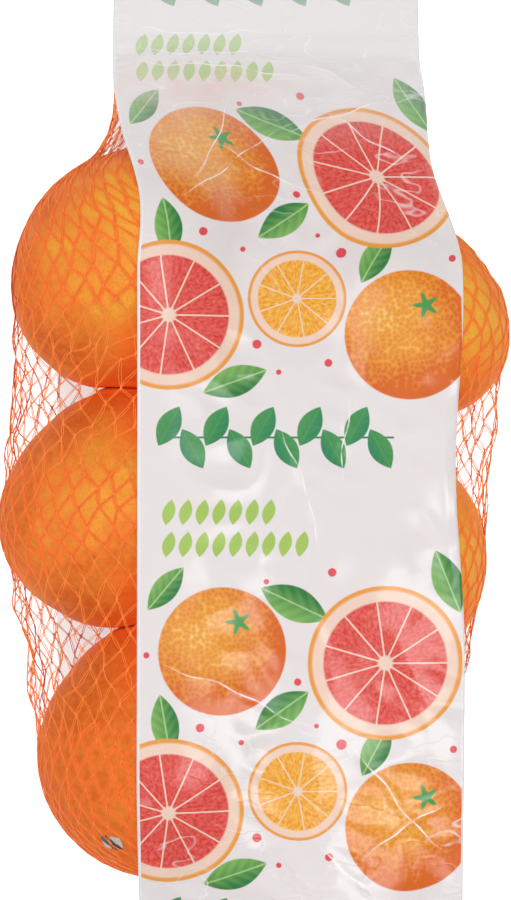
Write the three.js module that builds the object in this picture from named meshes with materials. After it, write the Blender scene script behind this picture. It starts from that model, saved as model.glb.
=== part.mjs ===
// A knitted net of oranges with a printed film band on its face and one on its back.
// Millimetres, +Z up. The pack lies on its back band with its face band up, header towards +Y.
// The origin is the centre of the pack's length and width, on the surface it lies on.
import * as THREE from 'three';

// ---- Driving dimensions -------------------------------------------------------------------

const PACK_LENGTH = 406; // from the header's end to the tab's end
const FILM_WIDTH = 104.5; // both bands are cut from one width of film
const FILM_THICKNESS = 0.5;
const GAP = 0.3; // clearance between two pieces that touch

// The fruit, each with the net that hugs it: centre across, centre along, radius across and up.
// Its radius along the pack is stretch times r, and its middle goes across by lean for each millimetre along.
const FRUIT = [
  { name: 'left_top', x: -40.8, y: 88.5, r: 40.5, stretch: 1.005, lean: 0.17 },
  { name: 'left_middle', x: -44.8, y: 7.8, r: 40.6, stretch: 0.965, lean: 0.11 },
  { name: 'left_bottom', x: -30.2, y: -72.9, r: 42.4, stretch: 1, lean: 0.02 },
  { name: 'right_top', x: 49.0, y: 72.0, r: 36.0, stretch: 0.985, lean: -0.16 },
  { name: 'right_middle', x: 37.6, y: -14.6, r: 39.5, stretch: 1.08, lean: 0.14 },
  { name: 'right_bottom', x: 24.0, y: -132.5, r: 38.0, stretch: 1, lean: 0 },
];

// Where the net is pinched flat between the two bands: place along, height, the net's end.
const HEADER_WELD = { y: 161, z: 21, netEnd: 165, left: -47.5, right: 54 };
const TAB_WELD = { y: -190, z: 20, netEnd: -194, left: -36, right: 63 };
const HEADER_TIP_HEIGHT = 8;
const TAB_TIP_HEIGHT = 15;
const NET_THICKNESS = 1.2; // of the flattened net, inside a weld
const WELD_CLOSE = 5; // length over which the bands close on each other past the net's end

// The bands' middles across the pack, at the welds and over the fruit.
const FACE_MIDDLE = 14.7;
const BACK_MIDDLE = -17;
const HEADER_MIDDLE = 3.5;
const TAB_MIDDLE = 13.5;
const FACE_DRIFT = { header: [92, 164], tab: [-185, -120] }; // stretch of each sideways drift
const BACK_DRIFT = { header: [102, 138], tab: [-128, -40] };
// Where the face band's long edges curl under, which makes it narrower: place along, reach and depth.
const EDGE_TUCKS = {
  left: [{ y: 110, reach: 26, depth: 2 }],
  right: [
    { y: 118, reach: 34, depth: 4.5 },
    { y: 20, reach: 60, depth: 2.8 },
  ],
};

// Where the back band leaves the surface on its way up to a weld.
const BACK_LIFT = { header: 108, tab: -150 };

// ---- Fineness -----------------------------------------------------------------------------

const ROWS = 64; // the net and both bands share these, so that their facets keep their distance
const NET_COLUMNS = 48; // an even number, half of them on the upper side
const NET_STEPS = 900;
// Hoop pull over pull along: slack round the fruit and tight past its ends, where the net gathers.
// Next to the header's weld the film holds the net wide, so that the pull lets go again.
const HOOP = {
  slack: 0.03,
  header: { pull: 3, from: 106, full: 124, letGo: 127, gone: 142, left: 0.05 },
  tab: { pull: 5, from: -96, full: -120 },
};
const FACE_COLUMNS = 14;
const FACE_STEPS = 700;
const FACE_HOOP_SHARE = 0.25; // pull across the band over pull along it
const FACE_CLEARANCE = 0.7; // over the net's crests, so that no facet reaches through the film
const BACK_COLUMNS = 4;
const START_HALF_WIDTH = 94; // of the loose sleeve that the net is drawn tight from
const START_HEIGHT = 92;

// ---- Small functions ----------------------------------------------------------------------

const lerp = THREE.MathUtils.lerp;

// 0 before a, 1 after b, smooth between them. a may be larger than b.
function ease(value, a, b) {
  const t = THREE.MathUtils.clamp((value - a) / (b - a), 0, 1);
  return t * t * (3 - 2 * t);
}

// Places along the pack where the net has its rows, from one weld to the other.
function netStations() {
  const places = [];
  for (let row = 0; row <= ROWS; row++) {
    places.push(lerp(HEADER_WELD.netEnd, TAB_WELD.netEnd, row / ROWS));
  }
  return places;
}

// The same places, with those of the header and the tab, where the bands go on without the net.
function bandStations() {
  const headerClosed = HEADER_WELD.netEnd + WELD_CLOSE;
  const tabClosed = TAB_WELD.netEnd - WELD_CLOSE;
  const header = [PACK_LENGTH / 2, (PACK_LENGTH / 2 + headerClosed) / 2, headerClosed];
  return [...header, ...netStations(), tabClosed, -PACK_LENGTH / 2];
}

function isSealed(y) {
  return y > HEADER_WELD.y || y < TAB_WELD.y;
}

// Height of the pack's seam, halfway between the two bands, past a weld.
function seamHeight(y) {
  if (y > 0) {
    const t = (y - HEADER_WELD.y) / (PACK_LENGTH / 2 - HEADER_WELD.y);
    return lerp(HEADER_WELD.z, HEADER_TIP_HEIGHT, t);
  }
  const t = (y - TAB_WELD.y) / (-PACK_LENGTH / 2 - TAB_WELD.y);
  return lerp(TAB_WELD.z, TAB_TIP_HEIGHT, t);
}

// Half of the space that the bands leave between them past a weld.
function seamHalfGap(y) {
  const open = NET_THICKNESS / 2 + GAP;
  const end = y > 0 ? HEADER_WELD.netEnd : TAB_WELD.netEnd;
  return lerp(open, GAP / 2, ease(Math.abs(y), Math.abs(end), Math.abs(end) + WELD_CLOSE));
}

// The middle of a band across the pack: straight over the fruit, drifting towards each weld.
function bandMiddle(y, overFruit, drift) {
  const towardsHeader = ease(y, drift.header[0], drift.header[1]);
  const towardsTab = ease(y, drift.tab[1], drift.tab[0]);
  return overFruit + (HEADER_MIDDLE - overFruit) * towardsHeader + (TAB_MIDDLE - overFruit) * towardsTab;
}

// Underside of the back band: flat on the surface, then up to the weld with no kink.
function backHeight(y) {
  const weld = y > 0 ? HEADER_WELD : TAB_WELD;
  if (Math.abs(y) > Math.abs(weld.y)) {
    return seamHeight(y) - seamHalfGap(y) - FILM_THICKNESS;
  }
  const lift = y > 0 ? BACK_LIFT.header : BACK_LIFT.tab;
  const t = Math.max(0, (y - lift) / (weld.y - lift));
  return (weld.z - seamHalfGap(weld.y) - FILM_THICKNESS) * t * t * (2 - t);
}

// ---- The net, drawn tight round the fruit ---------------------------------------------------

// The flattened ring that a weld holds: columns run over the top from right to left, then back below.
function weldRing(weld) {
  const half = NET_COLUMNS / 2;
  const ring = [];
  for (let column = 0; column < NET_COLUMNS; column++) {
    const over = column <= half;
    const along = over ? column / half : (NET_COLUMNS - column) / half;
    const atEdge = column === 0 || column === half;
    const side = atEdge ? 0 : over ? 1 : -1;
    const x = lerp(weld.right, weld.left, along);
    ring.push(new THREE.Vector3(x, weld.netEnd, seamHeight(weld.netEnd) + (side * NET_THICKNESS) / 2));
  }
  return ring;
}

// A ring of the loose sleeve that the net starts as, well clear of the fruit.
function looseRing(y) {
  const ring = [];
  for (let column = 0; column < NET_COLUMNS; column++) {
    const angle = (2 * Math.PI * column) / NET_COLUMNS;
    const x = START_HALF_WIDTH * Math.cos(angle);
    const z = (START_HEIGHT / 2) * (1 + Math.sin(angle));
    ring.push(new THREE.Vector3(x, y, z));
  }
  return ring;
}

function hoopPull(y) {
  const end = y > 0 ? HOOP.header : HOOP.tab;
  const gathered = lerp(HOOP.slack, end.pull, ease(y, end.from, end.full));
  return y > 0 ? lerp(gathered, end.left, ease(y, end.letGo, end.gone)) : gathered;
}

// Moves a point, across the pack only, out of any fruit it has entered and up off the back band.
function pushOut(point) {
  for (const fruit of FRUIT) {
    const along = point.y - fruit.y;
    const reach = fruit.r ** 2 - (along / fruit.stretch) ** 2;
    const middle = fruit.x + fruit.lean * along;
    const centreHeight = fruit.r + FILM_THICKNESS + GAP;
    const dx = point.x - middle;
    const dz = point.z - centreHeight;
    const squared = dx ** 2 + dz ** 2;
    if (squared < reach) {
      const grow = Math.sqrt(reach / squared);
      point.x = middle + dx * grow;
      point.z = centreHeight + dz * grow;
    }
  }
  point.z = Math.max(point.z, backHeight(point.y) + FILM_THICKNESS + GAP);
}

// Each knot goes to the weighted middle of its four neighbours, then out of the fruit,
// until the sleeve is as tight as the fruit allows.
function tightNet() {
  const stations = netStations();
  const rows = stations.map((y) => looseRing(y));
  rows[0] = weldRing(HEADER_WELD);
  rows[ROWS] = weldRing(TAB_WELD);

  const rowStep = stations[0] - stations[1];
  const columnStep = (Math.PI * (START_HALF_WIDTH + START_HEIGHT / 2)) / NET_COLUMNS;
  const shapeFactor = (rowStep / columnStep) ** 2;

  for (let step = 0; step < NET_STEPS; step++) {
    for (let row = 1; row < ROWS; row++) {
      for (let column = 0; column < NET_COLUMNS; column++) {
        const before = rows[row][(column + NET_COLUMNS - 1) % NET_COLUMNS];
        const after = rows[row][(column + 1) % NET_COLUMNS];
        const point = rows[row][column];
        const hoop = hoopPull(point.y) * shapeFactor;
        point.copy(before).add(after).multiplyScalar(hoop);
        point.add(rows[row - 1][column]).add(rows[row + 1][column]).divideScalar(2 + 2 * hoop);
        point.y = stations[row];
        pushOut(point);
      }
    }
  }
  return rows;
}

// ---- Meshes ---------------------------------------------------------------------------------

function meshOf(name, points, triangles, material) {
  const geometry = new THREE.BufferGeometry();
  const positions = points.flatMap((point) => [point.x, point.y, point.z]);
  geometry.setAttribute('position', new THREE.Float32BufferAttribute(positions, 3));
  geometry.setIndex(triangles);
  geometry.computeVertexNormals();
  const mesh = new THREE.Mesh(geometry, material);
  mesh.name = name;
  return mesh;
}

// A closed sleeve: triangles between the rings, and each flattened end ring filled from side to side.
function sleeveMesh(name, rows, material) {
  const columns = rows[0].length;
  const half = columns / 2;
  const last = rows.length - 1;
  const at = (row, column) => row * columns + ((column + columns) % columns);
  const triangles = [];
  for (let row = 0; row < last; row++) {
    for (let column = 0; column < columns; column++) {
      triangles.push(at(row, column), at(row, column + 1), at(row + 1, column));
      triangles.push(at(row, column + 1), at(row + 1, column + 1), at(row + 1, column));
    }
  }
  for (let column = 0; column < half; column++) {
    const below = columns - column;
    if (column < half - 1) {
      triangles.push(at(0, column), at(0, below - 1), at(0, column + 1));
      triangles.push(at(last, column), at(last, column + 1), at(last, below - 1));
    }
    if (column > 0) {
      triangles.push(at(0, column), at(0, below), at(0, below - 1));
      triangles.push(at(last, column), at(last, below - 1), at(last, below));
    }
  }
  return meshOf(name, rows.flat(), triangles, material);
}

// A thin sheet: under is its lower face, a grid of points from left to right, row by row.
function sheetMesh(name, under, thickness, material) {
  const rows = under.length;
  const columns = under[0].length;
  const lift = new THREE.Vector3(0, 0, thickness);
  const lower = under.flat();
  const upper = lower.map((point) => point.clone().add(lift));
  const low = (row, column) => row * columns + column;
  const top = (row, column) => rows * columns + low(row, column);
  const triangles = [];
  for (let row = 0; row < rows - 1; row++) {
    for (let column = 0; column < columns - 1; column++) {
      const [a, b] = [low(row, column), low(row, column + 1)];
      const [c, d] = [low(row + 1, column), low(row + 1, column + 1)];
      triangles.push(a, b, c, b, d, c);
      const [e, f] = [top(row, column), top(row, column + 1)];
      const [g, h] = [top(row + 1, column), top(row + 1, column + 1)];
      triangles.push(e, g, f, f, g, h);
    }
  }
  const wall = (p, q, pTop, qTop) => triangles.push(p, pTop, q, q, pTop, qTop);
  for (let column = 0; column < columns - 1; column++) {
    const end = rows - 1;
    wall(low(0, column), low(0, column + 1), top(0, column), top(0, column + 1));
    wall(low(end, column + 1), low(end, column), top(end, column + 1), top(end, column));
  }
  for (let row = 0; row < rows - 1; row++) {
    const side = columns - 1;
    wall(low(row + 1, 0), low(row, 0), top(row + 1, 0), top(row, 0));
    wall(low(row, side), low(row + 1, side), top(row, side), top(row + 1, side));
  }
  return meshOf(name, [...lower, ...upper], triangles, material);
}

// ---- The two bands --------------------------------------------------------------------------

// How a place is shared between a triangle's corners, seen from above, or null if it lies outside.
function shares(x, y, a, b, c) {
  const area = (b.x - a.x) * (c.y - a.y) - (c.x - a.x) * (b.y - a.y);
  const u = ((b.x - x) * (c.y - y) - (c.x - x) * (b.y - y)) / area;
  const v = ((c.x - x) * (a.y - y) - (a.x - x) * (c.y - y)) / area;
  const w = 1 - u - v;
  return u >= 0 && v >= 0 && w >= 0 ? [u, v, w] : null;
}

// Calls visit with the corners of every triangle of a grid. A closed grid's last column meets its first.
function eachTriangle(grid, closed, visit) {
  const columns = grid[0].length;
  for (let row = 0; row < grid.length - 1; row++) {
    for (let column = 0; column < (closed ? columns : columns - 1); column++) {
      const next = (column + 1) % columns;
      visit(grid[row][column], grid[row][next], grid[row + 1][column]);
      visit(grid[row][next], grid[row + 1][next], grid[row + 1][column]);
    }
  }
}

// The height of the net's upper side over a place, or -Infinity beside the net.
function crestOver(x, y, netRows) {
  let height = -Infinity;
  eachTriangle(netRows, true, (a, b, c) => {
    const part = shares(x, y, a, b, c);
    if (part) {
      height = Math.max(height, part[0] * a.z + part[1] * b.z + part[2] * c.z);
    }
  });
  return height;
}

// Each knot of the net that lies under the band, with the corners of the facet that it holds up.
function contactsUnder(grid, netRows) {
  const knots = netRows.flatMap((ring) => ring.filter((knot, column) => column <= NET_COLUMNS / 2));
  const contacts = [];
  eachTriangle(grid, false, (a, b, c) => {
    for (const knot of knots) {
      const part = shares(knot.x, knot.y, a, b, c);
      if (part) {
        contacts.push({ corners: [a, b, c], part, height: knot.z + FACE_CLEARANCE });
      }
    }
  });
  return contacts;
}

// Lifts a facet's corners until the facet clears the knot below it.
function holdUp(contact) {
  const { corners, part, height } = contact;
  const lack = height - corners.reduce((sum, corner, i) => sum + part[i] * corner.z, 0);
  if (lack > 0) {
    const share = part.reduce((sum, weight) => sum + weight * weight, 0);
    corners.forEach((corner, i) => {
      corner.z += (lack * part[i]) / share;
    });
  }
}

// The width that an edge's tucks take off the face band at a place along it.
function tuckedUnder(y, tucks) {
  return tucks.reduce((sum, tuck) => sum + tuck.depth * ease(Math.abs(y - tuck.y), tuck.reach, 0), 0);
}

// Lower face of the face band: taut from weld to weld, held up by the net's crests.
function faceUnderside(netRows) {
  const grid = [];
  const lowest = [];
  for (const y of bandStations()) {
    const middle = bandMiddle(y, FACE_MIDDLE, FACE_DRIFT);
    const left = middle - FILM_WIDTH / 2 + tuckedUnder(y, EDGE_TUCKS.left);
    const right = middle + FILM_WIDTH / 2 - tuckedUnder(y, EDGE_TUCKS.right);
    const points = [];
    const floors = [];
    for (let column = 0; column <= FACE_COLUMNS; column++) {
      const x = lerp(left, right, column / FACE_COLUMNS);
      const seam = seamHeight(y) + seamHalfGap(y);
      const overBack = backHeight(y) + FILM_THICKNESS + GAP;
      points.push(new THREE.Vector3(x, y, isSealed(y) ? seam : START_HEIGHT));
      floors.push(Math.max(crestOver(x, y, netRows) + FACE_CLEARANCE, overBack));
    }
    grid.push(points);
    lowest.push(floors);
  }
  const contacts = contactsUnder(grid, netRows).filter(({ corners }) => !corners.some((p) => isSealed(p.y)));
  const rowStep = (HEADER_WELD.netEnd - TAB_WELD.netEnd) / ROWS;
  const hoop = FACE_HOOP_SHARE * (rowStep / (FILM_WIDTH / FACE_COLUMNS)) ** 2;
  for (let step = 0; step < FACE_STEPS; step++) {
    for (let row = 1; row < grid.length - 1; row++) {
      if (isSealed(grid[row][0].y)) {
        continue;
      }
      for (let column = 0; column <= FACE_COLUMNS; column++) {
        const before = grid[row][Math.max(0, column - 1)].z;
        const after = grid[row][Math.min(FACE_COLUMNS, column + 1)].z;
        const along = grid[row - 1][column].z + grid[row + 1][column].z;
        const taut = (along + hoop * (before + after)) / (2 + 2 * hoop);
        grid[row][column].z = Math.max(taut, lowest[row][column]);
      }
    }
    contacts.forEach(holdUp);
  }
  return grid;
}

// Lower face of the back band: on the surface under the fruit, up at both ends.
function backUnderside() {
  return bandStations().map((y) => {
    const middle = bandMiddle(y, BACK_MIDDLE, BACK_DRIFT);
    const points = [];
    for (let column = 0; column <= BACK_COLUMNS; column++) {
      points.push(new THREE.Vector3(middle + FILM_WIDTH * (column / BACK_COLUMNS - 0.5), y, backHeight(y)));
    }
    return points;
  });
}

// ---- Materials and the pack -----------------------------------------------------------------

const fruitMaterial = new THREE.MeshStandardMaterial({ color: 0xe2782e, roughness: 0.6, metalness: 0 });
const faceMaterial = new THREE.MeshStandardMaterial({ color: 0xe6dede, roughness: 0.25, metalness: 0 });
const backMaterial = new THREE.MeshStandardMaterial({ color: 0xe2dada, roughness: 0.3, metalness: 0 });

const net = tightNet();
const pack = new THREE.Group();
pack.add(sleeveMesh('net_bag', net, fruitMaterial));
pack.add(sheetMesh('face_band', faceUnderside(net), FILM_THICKNESS, faceMaterial));
pack.add(sheetMesh('back_band', backUnderside(), FILM_THICKNESS, backMaterial));

export default pack;
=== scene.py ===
"""A net of oranges: six fruit in a knitted net, between a printed film band and a plain one.

Lengths are millimetres in the row frame until a mesh is made, which is in metres.
Every shape is a surface worked out on a grid of two parameters as whole arrays.
"""

import math

import bpy
import numpy as np
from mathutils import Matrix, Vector


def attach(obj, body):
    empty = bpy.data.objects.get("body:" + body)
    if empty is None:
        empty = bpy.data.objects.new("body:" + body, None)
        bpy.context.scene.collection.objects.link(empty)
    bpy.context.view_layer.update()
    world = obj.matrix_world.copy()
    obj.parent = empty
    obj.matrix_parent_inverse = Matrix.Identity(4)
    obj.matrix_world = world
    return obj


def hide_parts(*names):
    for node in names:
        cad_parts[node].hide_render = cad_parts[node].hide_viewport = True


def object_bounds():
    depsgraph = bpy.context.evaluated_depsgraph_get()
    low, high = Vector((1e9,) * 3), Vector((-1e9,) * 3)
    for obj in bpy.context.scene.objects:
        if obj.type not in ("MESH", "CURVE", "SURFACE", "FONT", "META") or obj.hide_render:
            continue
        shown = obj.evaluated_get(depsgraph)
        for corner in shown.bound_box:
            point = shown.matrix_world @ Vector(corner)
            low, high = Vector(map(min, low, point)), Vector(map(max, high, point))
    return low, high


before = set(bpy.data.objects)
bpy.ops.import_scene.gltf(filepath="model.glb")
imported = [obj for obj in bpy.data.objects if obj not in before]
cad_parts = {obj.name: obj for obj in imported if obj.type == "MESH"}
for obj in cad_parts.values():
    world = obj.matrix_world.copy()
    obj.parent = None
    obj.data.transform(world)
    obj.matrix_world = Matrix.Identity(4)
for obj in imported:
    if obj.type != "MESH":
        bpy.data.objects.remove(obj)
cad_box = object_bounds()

MM = 0.001

# ---- Driving dimensions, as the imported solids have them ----

PACK_LENGTH = (cad_box[1].y - cad_box[0].y) / MM
FILM_WIDTH = 104.5
BAND_THICKNESS = 0.5
GAP = 0.3

# Each fruit: centre across, centre along, radius across and up with the net that hugs it, its radius along
# as a multiple of that, and how far its middle goes across for each millimetre along.
FRUIT = {
    "orange_left_top": (-40.8, 88.5, 40.5, 1.005, 0.17),
    "orange_left_middle": (-44.8, 7.8, 40.6, 0.965, 0.11),
    "orange_left_bottom": (-30.2, -72.9, 42.4, 1.0, 0.02),
    "orange_right_top": (49.0, 72.0, 36.0, 0.985, -0.16),
    "orange_right_middle": (37.6, -14.6, 39.5, 1.08, 0.14),
    "orange_right_bottom": (24.0, -132.5, 38.0, 1.0, 0.0),
}
# Where each stem points: azimuth from +X and height above the table, in degrees; how deep its peel's orange
# is, from 0 to 1; and how strongly painted bounce light reddens it beside its neighbours and by the film's
# edge.
STEMS = {
    "orange_left_top": (20, 35, 0.15, 1),
    "orange_left_middle": (195, -50, 0.4, 1),
    "orange_left_bottom": (300, 8, 1.0, 1),
    "orange_right_top": (30, 4, -0.4, 0.1),
    "orange_right_middle": (250, -50, -0.5, 0.35),
    "orange_right_bottom": (330, 12, 0.5, 1),
}
NO_STEM = (0.3, 0.2, 1.0)  # a way that no stem points

HEADER_WELD = {"y": 161, "z": 21, "net_end": 165, "left": -47.5, "right": 54}
TAB_WELD = {"y": -190, "z": 20, "net_end": -194, "left": -36, "right": 63}
HEADER_TIP_HEIGHT = 8
TAB_TIP_HEIGHT = 15
NET_THICKNESS = 1.2
WELD_CLOSE = 5  # past the net's end the bands close up over this length

FACE_MIDDLE = 14.7
BACK_MIDDLE = -17
HEADER_MIDDLE = 3.5
TAB_MIDDLE = 13.5
FACE_DRIFT = {"header": (92, 164), "tab": (-185, -120)}
BACK_DRIFT = {"header": (102, 138), "tab": (-128, -40)}
# Where the face band's long edges curl under: place along, reach and depth.
EDGE_TUCKS = {"left": ((110, 26, 2),), "right": ((118, 34, 4.5), (20, 60, 2.8))}
BACK_LIFT = {"header": 108, "tab": -150}

# The grid that the net is drawn tight on.
ROWS = 64
NET_COLUMNS = 48
NET_STEPS = 900
HOOP_SLACK = 0.03
HOOP_HEADER = {"pull": 3, "gathers": (106, 124), "lets_go": (127, 142), "left": 0.05}
HOOP_TAB = {"pull": 5, "gathers": (-96, -120)}
START_HALF_WIDTH = 94
START_HEIGHT = 92

# The knitted net.
CELLS_AROUND = 58
KNOT_ROWS = 64
LEG_STEPS = 3
FILAMENT_RADIUS = 0.11
FILAMENT_SIDES = 4
KNOT_SIDES = 5
SLEEVE_FINER = 4  # rows and places of the even sleeve for each of the knots'
BUNCHING = {"pull": 0.62, "places": (0.17, 0.1)}  # as shares of the length from the header's end
PEEL_SINK = 0.45  # how far the peel lies inside the net's radius
STRAND_LIFT = 0.14  # of a filament's middle over the peel
TOUCH_WITHIN = 3  # fruit whose nets are nearer than this lean on each other
TOUCH_CONE = (0.72, 1)  # cosines between which a fruit swells towards its neighbour
TOUCH_GAP = 0.02
TOUCH_FLAT = (0.955, 0.993)  # cosines between which it flattens against its neighbour
# Stray of the net where it hangs free.
RUFFLE = {"stray": 1.1, "clear": 6, "count": 8, "wavelength": 14, "seeds": (31, 32, 33), "up": 0.3}
BESIDE_BAND = 4  # over this much beside a band the net begins to stray
SETTLE_FADE = 3.5  # the net's drop to the peel fades out over this clearance
# Stray of the knots in cells, growing from none over the end rows.
KNOT_STRAY = {"along": 0.13, "round": 0.11, "ends": 3, "seed": 11}
# A strand's two filaments: how far apart between knots and at them, their wander, how far a strand keeps to
# its own side of a knot, and how far one passes over the other.
STRAND = {"apart": (0.22, 0.62), "at_knot": 0.12, "wander": 0.06, "aside": 0.16, "over": 0.12, "seed": 12}
KNOT_REACH = (-0.95, -0.4, 0.4, 0.95)  # places along a knot's spindle
KNOT_RADIUS = (0.05, 0.23, 0.23, 0.05)
KNOT_LIFT = 0.24
PRESSED_WITHIN = 0.8  # a strand this near to the net's radius presses on the peel
PRESSED_MOST = 2.0  # of its points that count in one cell of a fruit's grid

WAVE_SPREAD = (0.75, 1.35)  # the wavelengths of one set of sines, as shares of the one asked for
# Waves over each peel: height, number of sines, wavelength and what its seed is raised by.
BROAD_LUMPS = (0.32, 7, 46, 0)
SMALL_LUMPS = (0.12, 8, 17, 20)
PEBBLES = (0.05, 14, 2.3, 40)
FLATTENING = 0.5  # of both ends of a fruit
STEM_DIMPLE = (1.5, 6.5)  # depth and width
BLOSSOM_DIMPLE = (0.7, 4.0)
STEM_LOBES = 5  # of its button, and of the ribs round it
RIBS = {"height": 0.25, "middle": 6, "width": 4.5, "sway": 2}
BUTTON = {"radius": 2.5, "lobes": 0.5, "edge": (0.5, -0.3), "height": 0.9}  # of the stem
SCAR = {"fades": (1.6, 0.8), "share": 0.8}  # of the blossom, in the stem's colour
BESIDE_FRUIT = 15  # light off a neighbour's peel reaches this far
# Painted bounce light in the shade by the face film's edge: its reach from the edge, depth below the fruit's
# top, clearance from the next fruit over which it grows, and share.
FILM_CORNER = {"across": 14, "below": (1, 8), "clear": (45, 20), "share": 0.9}
# Tone of a peel: random waves of it and their share, and a painted shade that deepens it down its sides,
# between these cosines from straight up.
TONE = {"waves": (6, 60, 60), "share": 0.25, "side": 0.75, "shade_from_top": (0.97, 0.45)}
FRUIT_GRID = (210, 320)  # rings and places round each

# The films.
FILM_ROWS = 340
FILM_COLUMNS = 96
FILM_THICKNESS = 0.1
FILM_HOOP_SHARE = 0.25  # pull across a band over pull along it
FILM_STEPS = 320
OVER_RELAX = 1.85
FACE_CLEARANCE = 0.5
FACE_ALPHA = 0.9  # of each of the printed film's two faces
BACK_ALPHA = 0.78
UV_UNIT = 100  # millimetres to one unit of the print's map
LIVELY = {"header": (70, 105), "tab": (-45, -75)}  # between these places along, crinkles set in
# Relief of the films. Each set of waves: what across, along and up are multiplied by first, then the number
# of sines, wavelength and seed.
FACE_RIPPLE = ((1.0, 0.45, 1), 9, 21, 5)
FACE_CRINKLE = ((0.8, 1.0, 1), 10, 15, 6)
BACK_RIPPLE = ((1.0, 0.4, 1), 9, 24, 8)
BACK_CRINKLE = ((1, 1, 1), 10, 13, 9)
# Heights of both where the film is slack and of crinkles all over, the share of them that is left past a
# weld, and how deep the crinkles' waves are folded about 0.
FACE_HEIGHTS = {"ripple": 0.45, "crinkle": 0.35, "taut": 0.07, "sealed": 0.25, "fold": 1.4}
BACK_HEIGHTS = {"ripple": 0.5, "crinkle": 0.15, "sag": 0.2}
FACE_SLACK = (0.2, 3.0)  # clearance over which the film goes from taut to slack
FACE_SINK = 0.15  # at most, into its clearance
BACK_SLACK = (0.5, 6)
BACK_LIE = 0.2  # of the flat film over the floor
BACK_LOWEST = 0.02
EDGE_CURL = {"drop": 0.45, "width": 3.2}
# A crease wavers by these sines: height and wavelength. Its line is drawn between these distances.
CREASE_WAVER = ((0.9, 7), (0.4, 2.6))
CREASE_LINE = (0.32, 0.1)
# Folds of the face film: from (across, along) to (across, along), height and width.
FACE_CREASES = (
    (-46, 171, 8, 169, 0.8, 0.7), (-45, 164, 20, 160, 0.9, 0.8), (-44, 159.5, 26, 153, 0.7, 0.7),
    (16, 158, 36, 148, 0.7, 0.9), (10, 132, 44, 146, 0.6, 1.0), (-20, 112, -8, 146, 0.5, 1.2),
    (-25, 108, 14, 138, 0.55, 1.0), (-14, 128, 22, 110, 0.5, 1.1), (24, 140, 52, 122, 0.6, 1.0),
    (30, 45, 28, 16, 0.5, 1.3), (8, 36, 22, -6, 0.35, 1.2), (-30, -40, 20, -62, 0.4, 1.2),
    (28, -66, 62, -104, 0.6, 1.1), (34, -104, 64, -84, 0.5, 1.2), (20, -98, 40, -120, 0.5, 1.1),
    (-30, -150, 30, -168, 0.6, 1.1), (0, -170, 58, -176, 0.6, 1.0),
)

# The print, in millimetres: across from the band's left edge, along in the row frame.
PRINT_REPEAT = 158
PRINT_END = -116  # the low end of the repeat that these motifs are placed in
MARGINS = (0.85, 0.6)  # bare, down the left and the right side
MARGIN_EDGE = 0.15  # the soft edge of each
INK_EDGE = 0.25  # the soft edge of a small motif
HEADER_SHEEN = ((125, 168), 0.4)  # a painted sheen, whitish towards the header: between these places along, and how much
# Where the gathered net shows through: middle, half width and height, soft edge, clouds and share.
NET_TINT = {
    "middle": (26, 149, 0), "half": (40, 12), "edge": (1, 0.2), "clouds": 12, "cloud": (0.3, 0.6),
    "share": 0.5,
}
# Rows of petals: middle of the first, number of them.
PETAL_ROWS = (((10, 7.2), 7), ((10, -3), 9))
PETAL = {"pitch": 5.3, "width": 4.3, "height": 8.4, "slant": 0.22}
PETAL_ROW_EDGE = 0.05  # the soft edge at both ends of a row
GARLAND_STEM = ((44, 31), 76, 0.9)
# Rows of the garland's leaves: middle of the first, its length, width and turn; then how many there are.
GARLAND = (((10, 34.6), 14.5, 7.6, 62), ((17.5, 27.4), 14.5, 7.6, -62))
GARLAND_LEAVES = {"pitch": 15, "count": 5}
# Each leaf: its middle, length, width and turn in degrees.
LEAVES = (
    ((50, -22), 24, 11, 155), ((99, -15), 22, 10, 112), ((46, -56), 21, 10, 215),
    ((31, -109), 22, 10, 20), ((76, -69), 19, 9, 62), ((9, -60), 20, 9, 100), ((9, -17), 18, 8, 50),
)
# Each slice: its middle, radius, number of segments and flesh.
SLICES = (((79, -41), 25, 11, "coral"), ((10, -88), 24, 11, "coral"), ((51, -82), 16, 9, "flesh"))
# Within a slice, as shares of its radius: where its flesh ends, and the soft edges of its membranes, core,
# rind and pith. Its flesh is noise: how far that is drawn out, its wavelength, detail and roughness, and the
# ends of its streaks.
SLICE = {
    "flesh": 0.85, "membrane": (0.045, 0.07), "core": (0.08, 0.11), "rind": (1.0, 0.985),
    "pith": (0.95, 0.92), "rays": (9, 9, 0), "grain": (1.6, 3, 0.6), "streaks": (0.36, 0.66),
}
WHOLE_FRUIT = (((27, -37), 20.5), ((87, -94), 21))  # each one's middle and radius
# Each drop: across, along and radius.
DROPS = (
    (3, -38, 1.1), (41, -15, 1.0), (62, -12, 1.5), (51, -47, 1.3), (20, -61, 1.5), (33, -66, 1.0),
    (65, -67, 1.8), (57, -61, 0.9), (101, -69, 1.3), (38, -97, 1.6), (61, -103, 1.4), (45, -106, 1.0),
)
# A whole fruit: where its light comes from, its pores and clouds and their slope and start in its tone, and
# the tones that its skin and its shine go between. Then its stem's place, its star's tips with the slope and
# start of their reach, and the star's soft edge. Place and edges are shares of its radius.
WHOLE = {
    "light": (-0.5, 0.6), "pores": 1.4, "pebbles": (1.2, -0.5), "clouds": 9, "cloud": (1.4, -0.7),
    "skin": (-1.1, 0.35), "shine": (0.3, 0.9), "most_shine": 0.7, "edge": (1.0, 0.98),
    "stem": (0.25, 0.45, 0), "tips": 5, "points": (0.45, 1), "star": (0.13, 0.1),
}
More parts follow.
